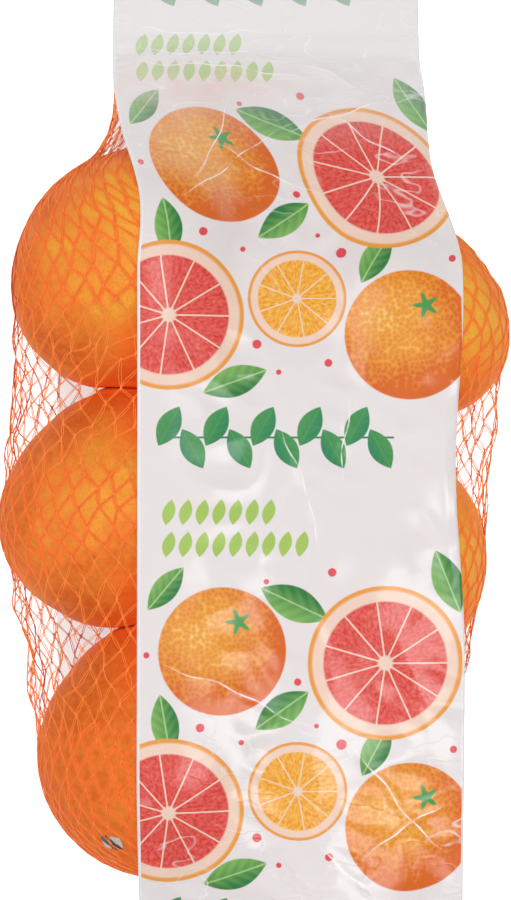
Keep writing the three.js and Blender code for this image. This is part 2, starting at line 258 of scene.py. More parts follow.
# A leaf: its halves and stripes by its width, how strong the stripes are, its vein and its edge.
LEAF = {"halves": (-0.4, 0.5), "stripes": 16, "strength": 0.12, "vein": (0.35, 0.15), "edge": 0.3}
INKS = {
    "ground": "DFD9D9", "margin": "E3E3E5", "deep_green": "2C8257", "mid_green": "4A9550",
    "pale_green": "A0C15C", "leaf_dark": "2C7940", "leaf_light": "7FB25C", "vein": "9FC581",
    "peel": "E39941", "pith": "E7CBBA", "coral_dark": "CE3635", "coral_light": "E1695D",
    "flesh_dark": "E38D1D", "flesh_light": "EEC055", "fruit_dark": "D36420", "fruit_light": "E7A53E",
    "fruit_glint": "EED497", "drop": "D84B55", "behind": "E5BAB2", "glint": "F4F3F3",
}

# The label: its middle as seen from its fruit's centre, its size, and its turn in degrees.
LABEL = {
    "fruit": "orange_left_bottom", "direction": (-16.1, -26.8, 27.8), "width": 7.4, "height": 6.4,
    "turn": -8, "lift": 0.04, "thickness": 0.06, "steps": 25,
}
LABEL_INKS = {"dark": "1B1817", "pale": "C6C0B9", "grain": "6B5A4A"}

BACK_FILM = {"dull": "E3E5E6", "clear": "EEF1F2", "glow": "E0E8E9"}
# The thread's colour, and a darker copy of it for the strands under the pack, as painted shade.
NET_COLOURS = {"upper": "FB8A3C", "under": "D4521C"}
# The peel's inks. The redder one laid beside other fruit and by the film's edge is painted bounce light; the
# one where the net lies on the peel is a painted shadow of the net, reddened by light through its threads.
PEEL = {
    "bright": "E3A53A", "deep": "E27A31", "deepest": "D26022", "bounce_light": "FA722C", "mottle": "F0AC44",
    "pit": "D96C22", "pressed": "F27A36", "stem_dark": "4F4A22", "stem_light": "8A7F3C",
}
PEEL_SHARES = {"mottle": 0.25, "pit": 0.45, "bounce_light": 0.8, "pressed": 0.8}  # of each, over the peel's colour
PEEL_WAVES = {"patches": 16, "mottle": 2.2, "bark": 1.1, "pits": 0.95, "pebbles": 0.8}

# Surfaces. Of two numbers, lines have a slope and a start, ramps a low and a high end, and bumps a height in
# millimetres and a strength.
THREAD = {"gloss": 0.12, "patches": 2.5, "rough": (0.3, 0.25), "grooves": 0.25, "bump": (0.03, 0.6)}
PEEL_FORM = {
    "gloss": 0.03, "patches": (2.4, -1.0), "deepening": (1.2, -0.5), "deep": (-0.6, 0),
    "bright": (0, 1), "mottle": (0.35, 0.7), "pits": (0.46, 0.14), "pebbles": 0.5, "bump": (0.06, 0.8),
    "rough": (0.14, 0.4), "bark_rough": 0.3,
}
FILM = {
    "gloss": 0.55, "stretch": (0.55, 1.0, 1.0), "folds": 11, "ridge": (0.022, 0.0), "ridge_height": 0.5,
    "soft": 5, "bump": (0.22, 0.55), "face_rough": (0.12, 0.2), "back_rough": (0.12, 0.22),
    "calm": (0.9, 0.1), "clouds": 40,
}
# Painted glints, white mixed into the film's colour: those on ridges lie in patches, and those on creases are
# broken.
GLINTS = {
    "patches": 26, "patch": (0.54, 0.66), "ridges": 0.5, "breaks": 5, "broken": (0.3, 0.55),
    "creases": 0.85,
}
LABEL_FORM = {
    "rough": 0.35, "slant": (0.8, 0.6, 0), "shift": 0.15, "bar": (0.48, 0.52), "grain": 0.7,
    "share": 0.4, "fibres": 0.6, "bump": (0.02, 0.5),
}
FLOOR = {"rough": 0.9, "gloss": 0.1, "clouds": 300, "colours": ("FAFAFA", "FFFFFF"), "half": 3000}

# The stage: places in millimetres, powers in watts.
IMAGE_HEIGHT = 900
CAMERA_SCALE = 2580  # pixels for a millimetre, times the distance in millimetres
CAMERA_HEIGHT = 900
CAMERA_AIM = (0, 27, 0)
SENSOR = 36
CAMERA_RANGE = (0.05, 20)  # in metres
SURROUND = 0.285
# Each light: name, place, size, power and whether it shows in glossy surfaces.
LIGHTS = (
    ("key", (500, -240, 1050), 560, 3.9, True),
    ("fill", (-700, 300, 1000), 700, 3.6, True),
    ("top", (0, 27, 1300), 1400, 9.3, False),
)
FLOOR_GLOW = 0.54
BACK_FILM_GLOW = 0.32  # a painted glow, for light that comes up through it from the floor


# ---- Small functions ----


def ease(value, a, b):
    """0 before a, 1 after b, and t * t * (3 - 2t) between them. a may be larger than b."""
    t = np.clip((np.asarray(value, float) - a) / (b - a), 0, 1)
    return t * t * (3 - 2 * t)


def blend(a, b, t):
    """a where t is 0 and b where t is 1."""
    return a + (b - a) * t


def bell(distance, height, width):
    """height * exp(-(distance / width)^2)."""
    return height * np.exp(-((distance / width) ** 2))


def length(vectors):
    """The length of each vector."""
    return np.linalg.norm(vectors, axis=-1)


def unit(vectors):
    """Each vector over its length."""
    return vectors / length(vectors)[..., None]


def seam_height(y):
    """Height of the pack's seam past a weld: a straight line from the weld to the tip."""
    half = PACK_LENGTH / 2
    header = blend(HEADER_WELD["z"], HEADER_TIP_HEIGHT, (y - HEADER_WELD["y"]) / (half - HEADER_WELD["y"]))
    tab = blend(TAB_WELD["z"], TAB_TIP_HEIGHT, (y - TAB_WELD["y"]) / (-half - TAB_WELD["y"]))
    return np.where(y > 0, header, tab)


def seam_half_gap(y):
    """Half of the space between the bands past a weld: wide as the net is thick, closing past its end."""
    end = np.where(y > 0, HEADER_WELD["net_end"], -TAB_WELD["net_end"])
    return blend(NET_THICKNESS / 2 + GAP, GAP / 2, ease(np.abs(y) - end, 0, WELD_CLOSE))


def is_sealed(y):
    """True past either weld."""
    return (y > HEADER_WELD["y"]) | (y < TAB_WELD["y"])


def band_middle(y, over_fruit, drift):
    """The middle of a band across the pack: straight over the fruit, easing over to each weld's middle."""
    header = (HEADER_MIDDLE - over_fruit) * ease(y, *drift["header"])
    tab = (TAB_MIDDLE - over_fruit) * ease(y, drift["tab"][1], drift["tab"][0])
    return over_fruit + header + tab


def back_height(y):
    """Underside of the back band: 0 under the fruit, then rise * t * t * (2 - t) up to each weld."""
    y = np.asarray(y, float)
    header = np.clip((y - BACK_LIFT["header"]) / (HEADER_WELD["y"] - BACK_LIFT["header"]), 0, None)
    tab = np.clip((y - BACK_LIFT["tab"]) / (TAB_WELD["y"] - BACK_LIFT["tab"]), 0, None)
    t = np.where(y > 0, header, tab)
    weld_height = np.where(y > 0, HEADER_WELD["z"], TAB_WELD["z"])
    open_gap = NET_THICKNESS / 2 + GAP
    rise = (weld_height - open_gap - BAND_THICKNESS) * t * t * (2 - t)
    return np.where(is_sealed(y), seam_height(y) - seam_half_gap(y) - BAND_THICKNESS, rise)


def waves(points, count, wavelength, seed):
    """Smooth noise about 0: the sum of count sines across space, each in a random direction, over the root
    of their number."""
    draw = np.random.default_rng(seed)
    direction = unit(draw.normal(size=(count, 3)))
    crest = wavelength * draw.uniform(*WAVE_SPREAD, count)
    phase = draw.uniform(0, 2 * np.pi, count)
    total = 0
    for way, between_crests, start in zip(direction, crest, phase):
        total = total + np.sin(points @ way * (2 * np.pi / between_crests) + start)
    return total / math.sqrt(count)


def between(grid, place):
    """A grid's rows at fractional places, by the Catmull-Rom cubic through the four nearest rows."""
    low = np.clip(np.floor(place).astype(int), 0, len(grid) - 2)
    t = (place - low)[:, None, None]
    a, b, c, d = (grid[np.clip(low + k, 0, len(grid) - 1)] for k in (-1, 0, 1, 2))
    return b + 0.5 * t * (c - a + t * (2 * a - 5 * b + 4 * c - d + t * (3 * (b - c) + d - a)))


# ---- Meshes ----


def mesh_piece(name, points, faces, material, slot, node, values=None, uv=None):
    """A smooth mesh object from millimetre points and lists of equal-sided faces.

    values are float attributes by name, one number a point, and uv is one pair of numbers a point.
    """
    mesh = bpy.data.meshes.new(name)
    mesh.vertices.add(len(points))
    mesh.vertices.foreach_set("co", (np.asarray(points) * MM).ravel())
    corners = np.concatenate([part.ravel() for part in faces]).astype(np.int32)
    sizes = np.concatenate([np.full(len(part), part.shape[1]) for part in faces])
    starts = np.concatenate([[0], np.cumsum(sizes)[:-1]]).astype(np.int32)
    mesh.loops.add(len(corners))
    mesh.loops.foreach_set("vertex_index", corners)
    mesh.polygons.add(len(sizes))
    mesh.polygons.foreach_set("loop_start", starts)
    mesh.update(calc_edges=True)
    mesh.polygons.foreach_set("use_smooth", np.ones(len(sizes), bool))
    for key, value in (values or {}).items():
        layer = mesh.attributes.new(key, "FLOAT", "POINT")
        layer.data.foreach_set("value", np.asarray(value, np.float32).ravel())
    if uv is not None:
        layer = mesh.uv_layers.new(name="print")
        layer.data.foreach_set("uv", np.asarray(uv, np.float32)[corners].ravel())
    mesh.validate()
    mesh.materials.append(material)
    piece = bpy.data.objects.new(name, mesh)
    bpy.context.scene.collection.objects.link(piece)
    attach(piece, "root")
    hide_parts(node)
    return piece


def grid_quads(rows, columns, closed=False, start=0):
    """The quads of a grid numbered row by row; a closed grid's last column joins its first."""
    row, column = np.meshgrid(np.arange(rows - 1), np.arange(columns if closed else columns - 1), indexing="ij")
    after = (column + 1) % columns
    here, below = row * columns, (row + 1) * columns
    return start + np.stack([here + column, here + after, below + after, below + column], -1).reshape(-1, 4)


def sheet_shell(lower, thickness):
    """A closed thin sheet over a grid of points: its lower face, its upper face, which lies a vector
    thickness away, and a rim of quads."""
    rows, columns = lower.shape[:2]
    count = rows * columns
    points = np.concatenate([lower.reshape(-1, 3), (lower + thickness).reshape(-1, 3)])
    under = grid_quads(rows, columns)
    over = grid_quads(rows, columns, start=count)[:, ::-1]
    index = np.arange(count).reshape(rows, columns)
    loop = np.concatenate([index[0, :-1], index[:-1, -1], index[-1, :0:-1], index[:0:-1, 0]])
    after = np.roll(loop, -1)
    rim = np.stack([loop, loop + count, after + count, after], -1)
    return points, [np.concatenate([under, over, rim])]


def sheet_piece(name, node, lower, thickness, across, along, material):
    """A closed thin sheet as a mesh object, with one map of across and along on both of its faces."""
    points, faces = sheet_shell(lower, thickness)
    uv = np.stack([across, along], -1).reshape(-1, 2)
    return mesh_piece(name, points, faces, material, name, node, uv=np.concatenate([uv, uv]))


def tubes(paths, radius, sides):
    """Round threads along paths [path, point, xyz]: a ring of sides points round each point, ends closed.

    Each ring lies square to the path, its first axis being the path's direction crossed with +X.
    """
    along = unit(np.gradient(paths, axis=1))
    first = unit(np.cross(along, [1.0, 0, 0]))
    second = np.cross(along, first)
    turn = 2 * np.pi * np.arange(sides) / sides
    rim = first[:, :, None] * np.cos(turn)[:, None] + second[:, :, None] * np.sin(turn)[:, None]
    radius = np.broadcast_to(radius, paths.shape[:2])[:, :, None, None]
    points = paths[:, :, None] + radius * rim
    count, steps = paths.shape[:2]
    one = grid_quads(steps, sides, closed=True)
    offsets = np.arange(count)[:, None, None] * (steps * sides)
    walls = (one + offsets).reshape(-1, 4)
    start = np.arange(sides)[::-1]
    end = (steps - 1) * sides + np.arange(sides)
    caps = (np.stack([start, end]) + offsets).reshape(-1, sides)
    return points.reshape(-1, 3), [walls, caps]


# ---- The net's surface ----


def weld_ring(weld):
    """The flat ring that a weld holds: over the top from right to left, then back below."""
    half = NET_COLUMNS // 2
    column = np.arange(NET_COLUMNS)
    along = np.where(column <= half, column, NET_COLUMNS - column) / half
    side = np.where(column % half == 0, 0, np.where(column < half, 1, -1))
    height = seam_height(weld["net_end"]) + side * NET_THICKNESS / 2
    across = blend(weld["right"], weld["left"], along)
    return np.stack([across, np.full(NET_COLUMNS, weld["net_end"]), height], -1)


def push_out(points):
    """Moves points, across the pack only, out of any fruit they have entered and up off the back band."""
    points = points.copy()
    for x, y, r, stretch, lean in FRUIT.values():
        centre_height = r + BAND_THICKNESS + GAP
        along = points[..., 1] - y
        reach = r**2 - (along / stretch) ** 2
        middle = x + lean * along
        dx = points[..., 0] - middle
        dz = points[..., 2] - centre_height
        squared = dx**2 + dz**2
        grow = np.sqrt(np.where(squared < reach, reach / squared, 1))
        points[..., 0] = middle + dx * grow
        points[..., 2] = centre_height + dz * grow
    floor = back_height(points[..., 1]) + BAND_THICKNESS + GAP
    points[..., 2] = np.maximum(points[..., 2], floor)
    return points


def tight_net():
    """The net's knots [row, column, xyz], drawn tight from a loose sleeve.

    Each knot goes to (pull * (left + right) + up + down) / (2 + 2 * pull), stays in its own plane
    across the pack and leaves any fruit it has entered. Odd and even knots take turns.
    """
    along = np.linspace(HEADER_WELD["net_end"], TAB_WELD["net_end"], ROWS + 1)
    angle = 2 * np.pi * np.arange(NET_COLUMNS) / NET_COLUMNS
    net = np.empty((ROWS + 1, NET_COLUMNS, 3))
    net[..., 0] = START_HALF_WIDTH * np.cos(angle)
    net[..., 1] = along[:, None]
    net[..., 2] = START_HEIGHT / 2 * (1 + np.sin(angle))
    net[0] = weld_ring(HEADER_WELD)
    net[-1] = weld_ring(TAB_WELD)

    row_step = along[0] - along[1]
    column_step = np.pi * (START_HALF_WIDTH + START_HEIGHT / 2) / NET_COLUMNS
    header = blend(HOOP_SLACK, HOOP_HEADER["pull"], ease(along, *HOOP_HEADER["gathers"]))
    header = blend(header, HOOP_HEADER["left"], ease(along, *HOOP_HEADER["lets_go"]))
    tab = blend(HOOP_SLACK, HOOP_TAB["pull"], ease(along, *HOOP_TAB["gathers"]))
    pull = np.where(along > 0, header, tab) * (row_step / column_step) ** 2
    pull = pull[1:-1, None, None]
    odd = np.add.outer(np.arange(1, ROWS), np.arange(NET_COLUMNS)) % 2 == 1
    for _ in range(NET_STEPS):
        for turn in (odd, ~odd):
            inner = net[1:-1]
            beside = np.roll(inner, 1, 1) + np.roll(inner, -1, 1)
            middle = (pull * beside + net[:-2] + net[2:]) / (2 + 2 * pull)
            middle[..., 1] = along[1:-1, None]
            net[1:-1][turn] = push_out(middle[turn])
    return net


def even_sleeve(net, rows, columns):
    """The net as an even grid: rows equally far apart, places shared out by length round each row."""
    place = np.linspace(0, ROWS, rows)
    rings = between(net, place)
    rings[..., 1] = np.linspace(HEADER_WELD["net_end"], TAB_WELD["net_end"], rows)[:, None]
    closed = np.concatenate([rings, rings[:, :1]], 1)
    reach = np.concatenate([np.zeros((rows, 1)), np.cumsum(length(np.diff(closed, axis=1)), 1)], 1)
    share = np.arange(columns) / columns
    even = np.empty((rows, columns, 3))
    for row in range(rows):
        for axis in range(3):
            even[row, :, axis] = np.interp(share * reach[row, -1], reach[row], closed[row, :, axis])
    return even, reach[:, -1]


def bare(sleeve):
    """1 where the net shows and 0 where a band covers it: the face band over its upper half, the back band
    under its lower half, easing from one to the other beside each."""
    x, y = sleeve[..., 0], sleeve[..., 1]
    upper = np.arange(sleeve.shape[1]) <= sleeve.shape[1] // 2
    middle = np.where(upper, band_middle(y, FACE_MIDDLE, FACE_DRIFT), band_middle(y, BACK_MIDDLE, BACK_DRIFT))
    return ease(np.abs(x - middle) - FILM_WIDTH / 2, 0, BESIDE_BAND)


def ruffle(sleeve):
    """Lets the net stray where it hangs bare and free: each point moves by smooth noise times ease() of its
    clearance from the nearest fruit."""
    clear = clearance(FRUIT, sleeve)
    share = RUFFLE["stray"] * ease(clear, 0, RUFFLE["clear"]) * bare(sleeve)
    form = RUFFLE["count"], RUFFLE["wavelength"]
    stray = np.stack([waves(sleeve, *form, seed) for seed in RUFFLE["seeds"]], -1)
    stray[..., 2] *= RUFFLE["up"]
    moved = sleeve + share[..., None] * stray
    moved[0], moved[-1] = sleeve[0], sleeve[-1]
    return moved


def sample(grid, place, share):
    """Points of an even sleeve at fractional rows and at shares of the way round, by bilinear blending."""
    rows, columns = grid.shape[:2]
    place = np.clip(place, 0, 1) * (rows - 1)
    low = np.clip(np.floor(place).astype(int), 0, rows - 2)
    up = (place - low)[..., None]
    turn = (share % 1) * columns
    left = np.floor(turn).astype(int) % columns
    over = (turn - np.floor(turn))[..., None]
    right = (left + 1) % columns
    near = blend(grid[low, left], grid[low, right], over)
    far = blend(grid[low + 1, left], grid[low + 1, right], over)
    return blend(near, far, up)


# ---- The fruit ----


def net_reach(fruit, direction):
    """Distance from a fruit's centre to the net on it, in each direction: r / sqrt(across^2 + along^2 + up^2),
    where across has lean * y taken off it and along is y / stretch."""
    r, stretch, lean = FRUIT[fruit][2:]
    across = direction[..., 0] - lean * direction[..., 1]
    return r / np.sqrt(across**2 + (direction[..., 1] / stretch) ** 2 + direction[..., 2] ** 2)


def fruit_frame(fruit):
    """A fruit's centre, its radius without the net, and its three axes, the third along the stem."""
    x, y, r = FRUIT[fruit][:3]
    azimuth, height = (math.radians(angle) for angle in STEMS[fruit][:2])
    level = math.cos(height)
    stem = np.array([math.cos(azimuth) * level, math.sin(azimuth) * level, math.sin(height)])
    side = unit(np.cross(stem, NO_STEM))
    centre = np.array([x, y, r + BAND_THICKNESS + GAP])
    return centre, r - PEEL_SINK, np.stack([side, np.cross(stem, side), stem])


def from_fruit(fruit, points):
    """Points as seen from a fruit's centre: their direction, their distance, and how far outside its net
    they lie."""
    away = points - fruit_frame(fruit)[0]
    distance = length(away)
    direction = away / distance[..., None]
    return direction, distance, distance - net_reach(fruit, direction)


def clearance(fruits, points):
    """How far outside the nearest of the fruit's nets each point lies."""
    return np.min([from_fruit(fruit, points)[2] for fruit in fruits], 0)


def rolling(points, seed, form):
    """One of the peel's waves, at points on it."""
    height, count, wavelength, raised = form
    return height * waves(points, count, wavelength, seed + raised)


def touching(fruit, direction):
    """How far a fruit leans on others in each direction, from 0 to 1, how far it is to their peel, how far
    it is flattened there, from 0 to 1, and that share of the distance to the flat.

    Towards a fruit less than TOUCH_WITHIN away: ease() of the cosine to it, half of that distance, ease() of
    the cosine again, and the distance to the plane half way between the two, which is its height / cosine.
    """
    centre = fruit_frame(fruit)[0]
    share, distance, flat, plane = np.zeros((4, *direction.shape[:-1]))
    for other in FRUIT:
        away = fruit_frame(other)[0] - centre
        apart = length(away)
        away = away / max(apart, 1)  # from itself a fruit is 0 apart
        clear = apart - net_reach(fruit, away) - net_reach(other, -away)
        if other != fruit and clear < TOUCH_WITHIN:
            cosine = direction @ away
            towards = ease(cosine, *TOUCH_CONE)
            share = np.maximum(share, towards)
            half_way = clear / 2 - TOUCH_GAP
            distance += towards * half_way
            pressed = ease(cosine, *TOUCH_FLAT)
            flat += pressed
            plane += pressed * (net_reach(fruit, away) + half_way) / np.maximum(cosine, TOUCH_FLAT[0])
    return share, distance, flat, plane


def peel_radius(fruit, direction):
    """Distance from a fruit's centre to its peel in each direction, and how much of it is stem.

    The radius, less broad lumps, less a slight flattening at both ends, less a dimple at the stem and
    one at the blossom end, each a bell() of the arc to it, plus the stem's lobed button. Where two fruit
    lean on each other they lose none of this and meet in a small flat.
    """
    radius, axes = fruit_frame(fruit)[1:]
    seed = list(FRUIT).index(fruit)
    local = direction @ axes.T
    to_stem = radius * np.arccos(np.clip(local[..., 2], -1, 1))
    to_blossom = np.pi * radius - to_stem
    turn = np.arctan2(local[..., 1], local[..., 0])
    place = direction * radius
    lumps = BROAD_LUMPS[0] + rolling(place, seed, BROAD_LUMPS) + rolling(place, seed, SMALL_LUMPS)
    flattening = FLATTENING * local[..., 2] ** 4
    ribs = bell(to_stem - RIBS["middle"], RIBS["height"], RIBS["width"])
    ribs *= np.cos(STEM_LOBES * turn + RIBS["sway"] * np.sin(turn + seed))
    dimple = bell(to_stem, *STEM_DIMPLE) + bell(to_blossom, *BLOSSOM_DIMPLE)
    pebbles = rolling(place, seed, PEBBLES)
    button_edge = BUTTON["radius"] + BUTTON["lobes"] * np.cos(STEM_LOBES * turn + seed)
    button = ease(to_stem, *(button_edge + past for past in BUTTON["edge"]))
    scar = SCAR["share"] * ease(to_blossom, *SCAR["fades"])
    share, distance, flat, plane = touching(fruit, direction)
    loss = PEEL_SINK + lumps + flattening + dimple
    height = net_reach(fruit, direction) - loss * (1 - share) + distance
    height += ribs + pebbles * (1 - button) + BUTTON["height"] * button
    return height * (1 - flat) + plane, np.maximum(button, scar)


def settle(points, lift):
    """Lays net points on the peel: where the net touches a fruit they come down to lift over its peel.

    The drop fades out by ease() over the first few millimetres that the net stands clear.
    """
    points = points.copy()
    lift = np.broadcast_to(lift, points.shape[:-1])
    for fruit in FRUIT:
        seen = from_fruit(fruit, points)
        near = seen[2] < SETTLE_FADE
        direction, distance, clear = (part[near] for part in seen)
        floor = peel_radius(fruit, direction)[0] + lift[near]
        drop = (distance - clear - floor) * (1 - ease(clear, 0, SETTLE_FADE))
        settled = direction * np.maximum(distance - drop, floor)[:, None]
        points[near] = fruit_frame(fruit)[0] + settled
    return points


def fruit_grid(fruit, rows, columns):
    """Directions of a round grid about the stem: rows - 1 rings between the two poles, then the poles."""
    axes = fruit_frame(fruit)[2]
    polar = np.pi * np.arange(1, rows) / rows
    turn = 2 * np.pi * np.arange(columns) / columns
    round_pole = np.stack([np.cos(turn), np.sin(turn), np.zeros(columns)], -1)
    ring = np.sin(polar)[:, None, None] * round_pole + np.cos(polar)[:, None, None] * [0, 0, 1]
    return ring @ axes, axes[2]


def pressed_net(fruit, strands, rows, columns):
    """How close the net lies on each point of a fruit's grid, where the peel takes a painted shadow of the net:
    points every quarter step along the strands are counted into the grid's cells if they touch the peel, then
    spread by [1 2 1] both ways."""
    finer = [blend(strands[:, :-1], strands[:, 1:], quarter / 4) for quarter in range(4)]
    direction, _, clear = from_fruit(fruit, np.concatenate(finer).reshape(-1, 3))
    local = direction[clear < PRESSED_WITHIN] @ fruit_frame(fruit)[2].T
    polar = np.arccos(local[:, 2])
    turn = np.arctan2(local[:, 1], local[:, 0]) % (2 * np.pi)
    row = np.clip(np.rint(polar * rows / np.pi).astype(int) - 1, 0, rows - 2)
    column = np.rint(turn * columns / (2 * np.pi)).astype(int) % columns
    count = np.bincount(row * columns + column, minlength=(rows - 1) * columns).reshape(rows - 1, columns)
    count = np.minimum(count, PRESSED_MOST)
    spread = 0.25 * np.roll(count, 1, 1) + 0.5 * count + 0.25 * np.roll(count, -1, 1)
    padded = np.pad(spread, ((1, 1), (0, 0)), mode="edge")
    return np.clip(0.25 * padded[:-2] + 0.5 * spread + 0.25 * padded[2:], 0, 1)


def shaded(fruit, points):
    """Where painted bounce light, for light that comes to the peel off other peel, is laid on it in its shade:
    near another fruit, 1 where they touch, easing to 0; and in the corner between a fruit's flank, the next
    fruit and the face film's edge."""
    clear = clearance([other for other in FRUIT if other != fruit], points)
    middle = band_middle(points[:, 1], FACE_MIDDLE, FACE_DRIFT)
    from_film = np.abs(points[:, 0] - middle) - FILM_WIDTH / 2
    corner = ease(from_film, FILM_CORNER["across"], 0) * ease(clear, *FILM_CORNER["clear"])
    corner *= ease(points[:, 2].max() - points[:, 2], *FILM_CORNER["below"])
    return np.maximum(ease(clear, BESIDE_FRUIT, 0), FILM_CORNER["share"] * corner)


def make_fruit(fruit, strands, material):
    """One orange: peel_radius() on a round grid about its stem, each pole closed by a fan."""
    rows, columns = FRUIT_GRID
    directions, pole = fruit_grid(fruit, rows, columns)
    centre = fruit_frame(fruit)[0]
    flat = np.concatenate([directions.reshape(-1, 3), [pole, -pole]])
    height, stem = peel_radius(fruit, flat)
    points = centre + flat * height[:, None]
    ring = np.arange(columns)
    after = (ring + 1) % columns
    last = (rows - 2) * columns
    top = (rows - 1) * columns
    first_fan = np.stack([np.full(columns, top), ring, after], -1)
    last_fan = np.stack([np.full(columns, top + 1), last + after, last + ring], -1)
    walls = grid_quads(rows - 1, columns, closed=True)[:, ::-1]
    pressed = np.concatenate([pressed_net(fruit, strands, rows, columns).ravel(), [0, 0]])
    depth, tint = STEMS[fruit][2:]
    tone = depth + TONE["share"] * waves(points, *TONE["waves"])
    # Painted shade: the peel deepens down its sides away from the top.
    tone += TONE["side"] * ease(flat[:, 2], *TONE["shade_from_top"])
    # Painted light on the peel: where the net's painted shadow falls, and how much painted bounce light it
    # takes.
    values = {"pressed": pressed, "stem": stem, "tone": tone, "bounce_light": tint * shaded(fruit, points)}
    mesh_piece(fruit, points, [walls, first_fan, last_fan], material, "peel", "net_bag", values=values)


# ---- The knitted net ----


def knot_places():
    """Where each knot sits: its row as a share of the length and its share of the way round.

    Every other row is half a cell further round, and each knot strays a little at random.
    """
    draw = np.random.default_rng(KNOT_STRAY["seed"])
    row = np.arange(KNOT_ROWS + 1)[:, None]
    knot = np.arange(CELLS_AROUND)[None, :]
    inside = ease(np.minimum(row, KNOT_ROWS - row), 0, KNOT_STRAY["ends"])
    stray_along, stray_round = (
        KNOT_STRAY[way] * inside * draw.normal(size=(KNOT_ROWS + 1, CELLS_AROUND)) for way in ("along", "round")
    )
    share = (knot + 0.5 * (row % 2) + stray_round) / CELLS_AROUND
    return (row + stray_along) / KNOT_ROWS, share


def bunched(along, share):
    """Draws the strands together at the net's two folds where it gathers under the header: the share of the
    way round, less pull * sin(4 pi share) / (4 pi)."""
    pull = BUNCHING["pull"] * ease(along, *BUNCHING["places"])
    return share - pull * np.sin(4 * np.pi * share) / (4 * np.pi)


def strand_paths(sleeve, girth):
    """Every filament of the net as a path of points.

    Two strands pass through each knot and turn back, one to the right and one to the left. A strand is a
    pair of filaments, close together at its knots and apart between them by a sine of the way along a leg.
    """
    draw = np.random.default_rng(STRAND["seed"])
    place, share = knot_places()
    row = np.arange(KNOT_ROWS + 1)
    column = np.arange(CELLS_AROUND)
    way = np.arange(KNOT_ROWS * LEG_STEPS + 1) / LEG_STEPS
    leg = np.minimum(way.astype(int), KNOT_ROWS - 1)
    t = way - leg
    paths = []
    for leaning in (1, -1):
        knot = column[:, None] - (leaning < 0) * (row % 2)[None, :]
        wrap = np.floor_divide(knot, CELLS_AROUND)
        at_row = place[row[None, :], knot % CELLS_AROUND]
        at_share = share[row[None, :], knot % CELLS_AROUND] + wrap
        along = blend(at_row[:, leg], at_row[:, leg + 1], t)
        around = blend(at_share[:, leg], at_share[:, leg + 1], t)
        perimeter = np.interp(along, np.linspace(0, 1, len(girth)), girth)
        for side in (1, -1):
            apart = draw.uniform(*STRAND["apart"], (CELLS_AROUND, KNOT_ROWS))[:, leg]
            bow = blend(STRAND["at_knot"], apart, np.sin(np.pi * t))
            wander = STRAND["wander"] * draw.normal(size=bow.shape)
            offset = leaning * STRAND["aside"] + side * bow + wander
            points = sample(sleeve, along, bunched(along, around + offset / perimeter))
            height = STRAND_LIFT + STRAND["over"] * (1 + side * leaning * np.cos(np.pi * way))
            paths.append(settle(points, height))
    return np.concatenate(paths)


def make_strands(sleeve, girth, upper_thread, shaded_under_thread):
    """The net's filaments as thin threads, in pieces by the side of the pack they lie on. Those under it are in
    a darker copy of the thread, as painted shade.
    """
    paths = strand_paths(sleeve, girth)
    middle = paths[:, :, 0].mean(1)
    height = paths[:, :, 2].mean(1)
    upper = height > np.median(height)
    left = middle < np.median(middle)
    groups = {
        "net_strands_upper_left": upper & left,
        "net_strands_upper_right": upper & ~left,
        "net_strands_under_left": ~upper & left,
        "net_strands_under_right": ~upper & ~left,
    }
    for name, chosen in groups.items():
        thread = shaded_under_thread if "under" in name else upper_thread
        mesh_piece(name, *tubes(paths[chosen], FILAMENT_RADIUS, FILAMENT_SIDES), thread, "net", "net_bag")
    return paths


def make_knots(sleeve, material):
    """The knots: a short spindle along the net at each, its radius 0 at the ends and full between."""
    place, share = knot_places()
    run = HEADER_WELD["net_end"] - TAB_WELD["net_end"]
    place = place[1:-1].ravel()[:, None] + np.array(KNOT_REACH) / run
    share = np.repeat(share[1:-1].ravel()[:, None], len(KNOT_REACH), 1)
    paths = settle(sample(sleeve, place, bunched(place, share)), KNOT_LIFT)
    mesh_piece("net_knots", *tubes(paths, KNOT_RADIUS, KNOT_SIDES), material, "net", "net_bag")


# ---- The films ----


def crest_heights(net, x, y):
    """Height of the net's upper side over film points [row, column], each row lying at one y."""
    place = (HEADER_WELD["net_end"] - y) / (HEADER_WELD["net_end"] - TAB_WELD["net_end"]) * ROWS
    over = between(net, np.clip(place, 0, ROWS))[:, NET_COLUMNS // 2 :: -1]
    heights = np.full(x.shape, -np.inf)
    for row in np.flatnonzero((place >= 0) & (place <= ROWS)):
        across = np.maximum.accumulate(over[row, :, 0])
        heights[row] = np.interp(x[row], across, over[row, :, 2], left=-np.inf, right=-np.inf)
    return heights


def fruit_tops(x, y):
    """Height of the net on top of the fruit over film points, where a fruit's lean is taken off across:
    centre + sqrt(r^2 - across^2 - (along / stretch)^2)."""
    tops = np.full(x.shape, -np.inf)
    for middle, centre, r, stretch, lean in FRUIT.values():
        along = (y - centre)[:, None]
        squared = r**2 - (along / stretch) ** 2 - (x - middle - lean * along) ** 2
        height = r + BAND_THICKNESS + GAP + np.sqrt(np.maximum(squared, 0))
        tops = np.where(squared > 0, np.maximum(tops, height), tops)
    return tops


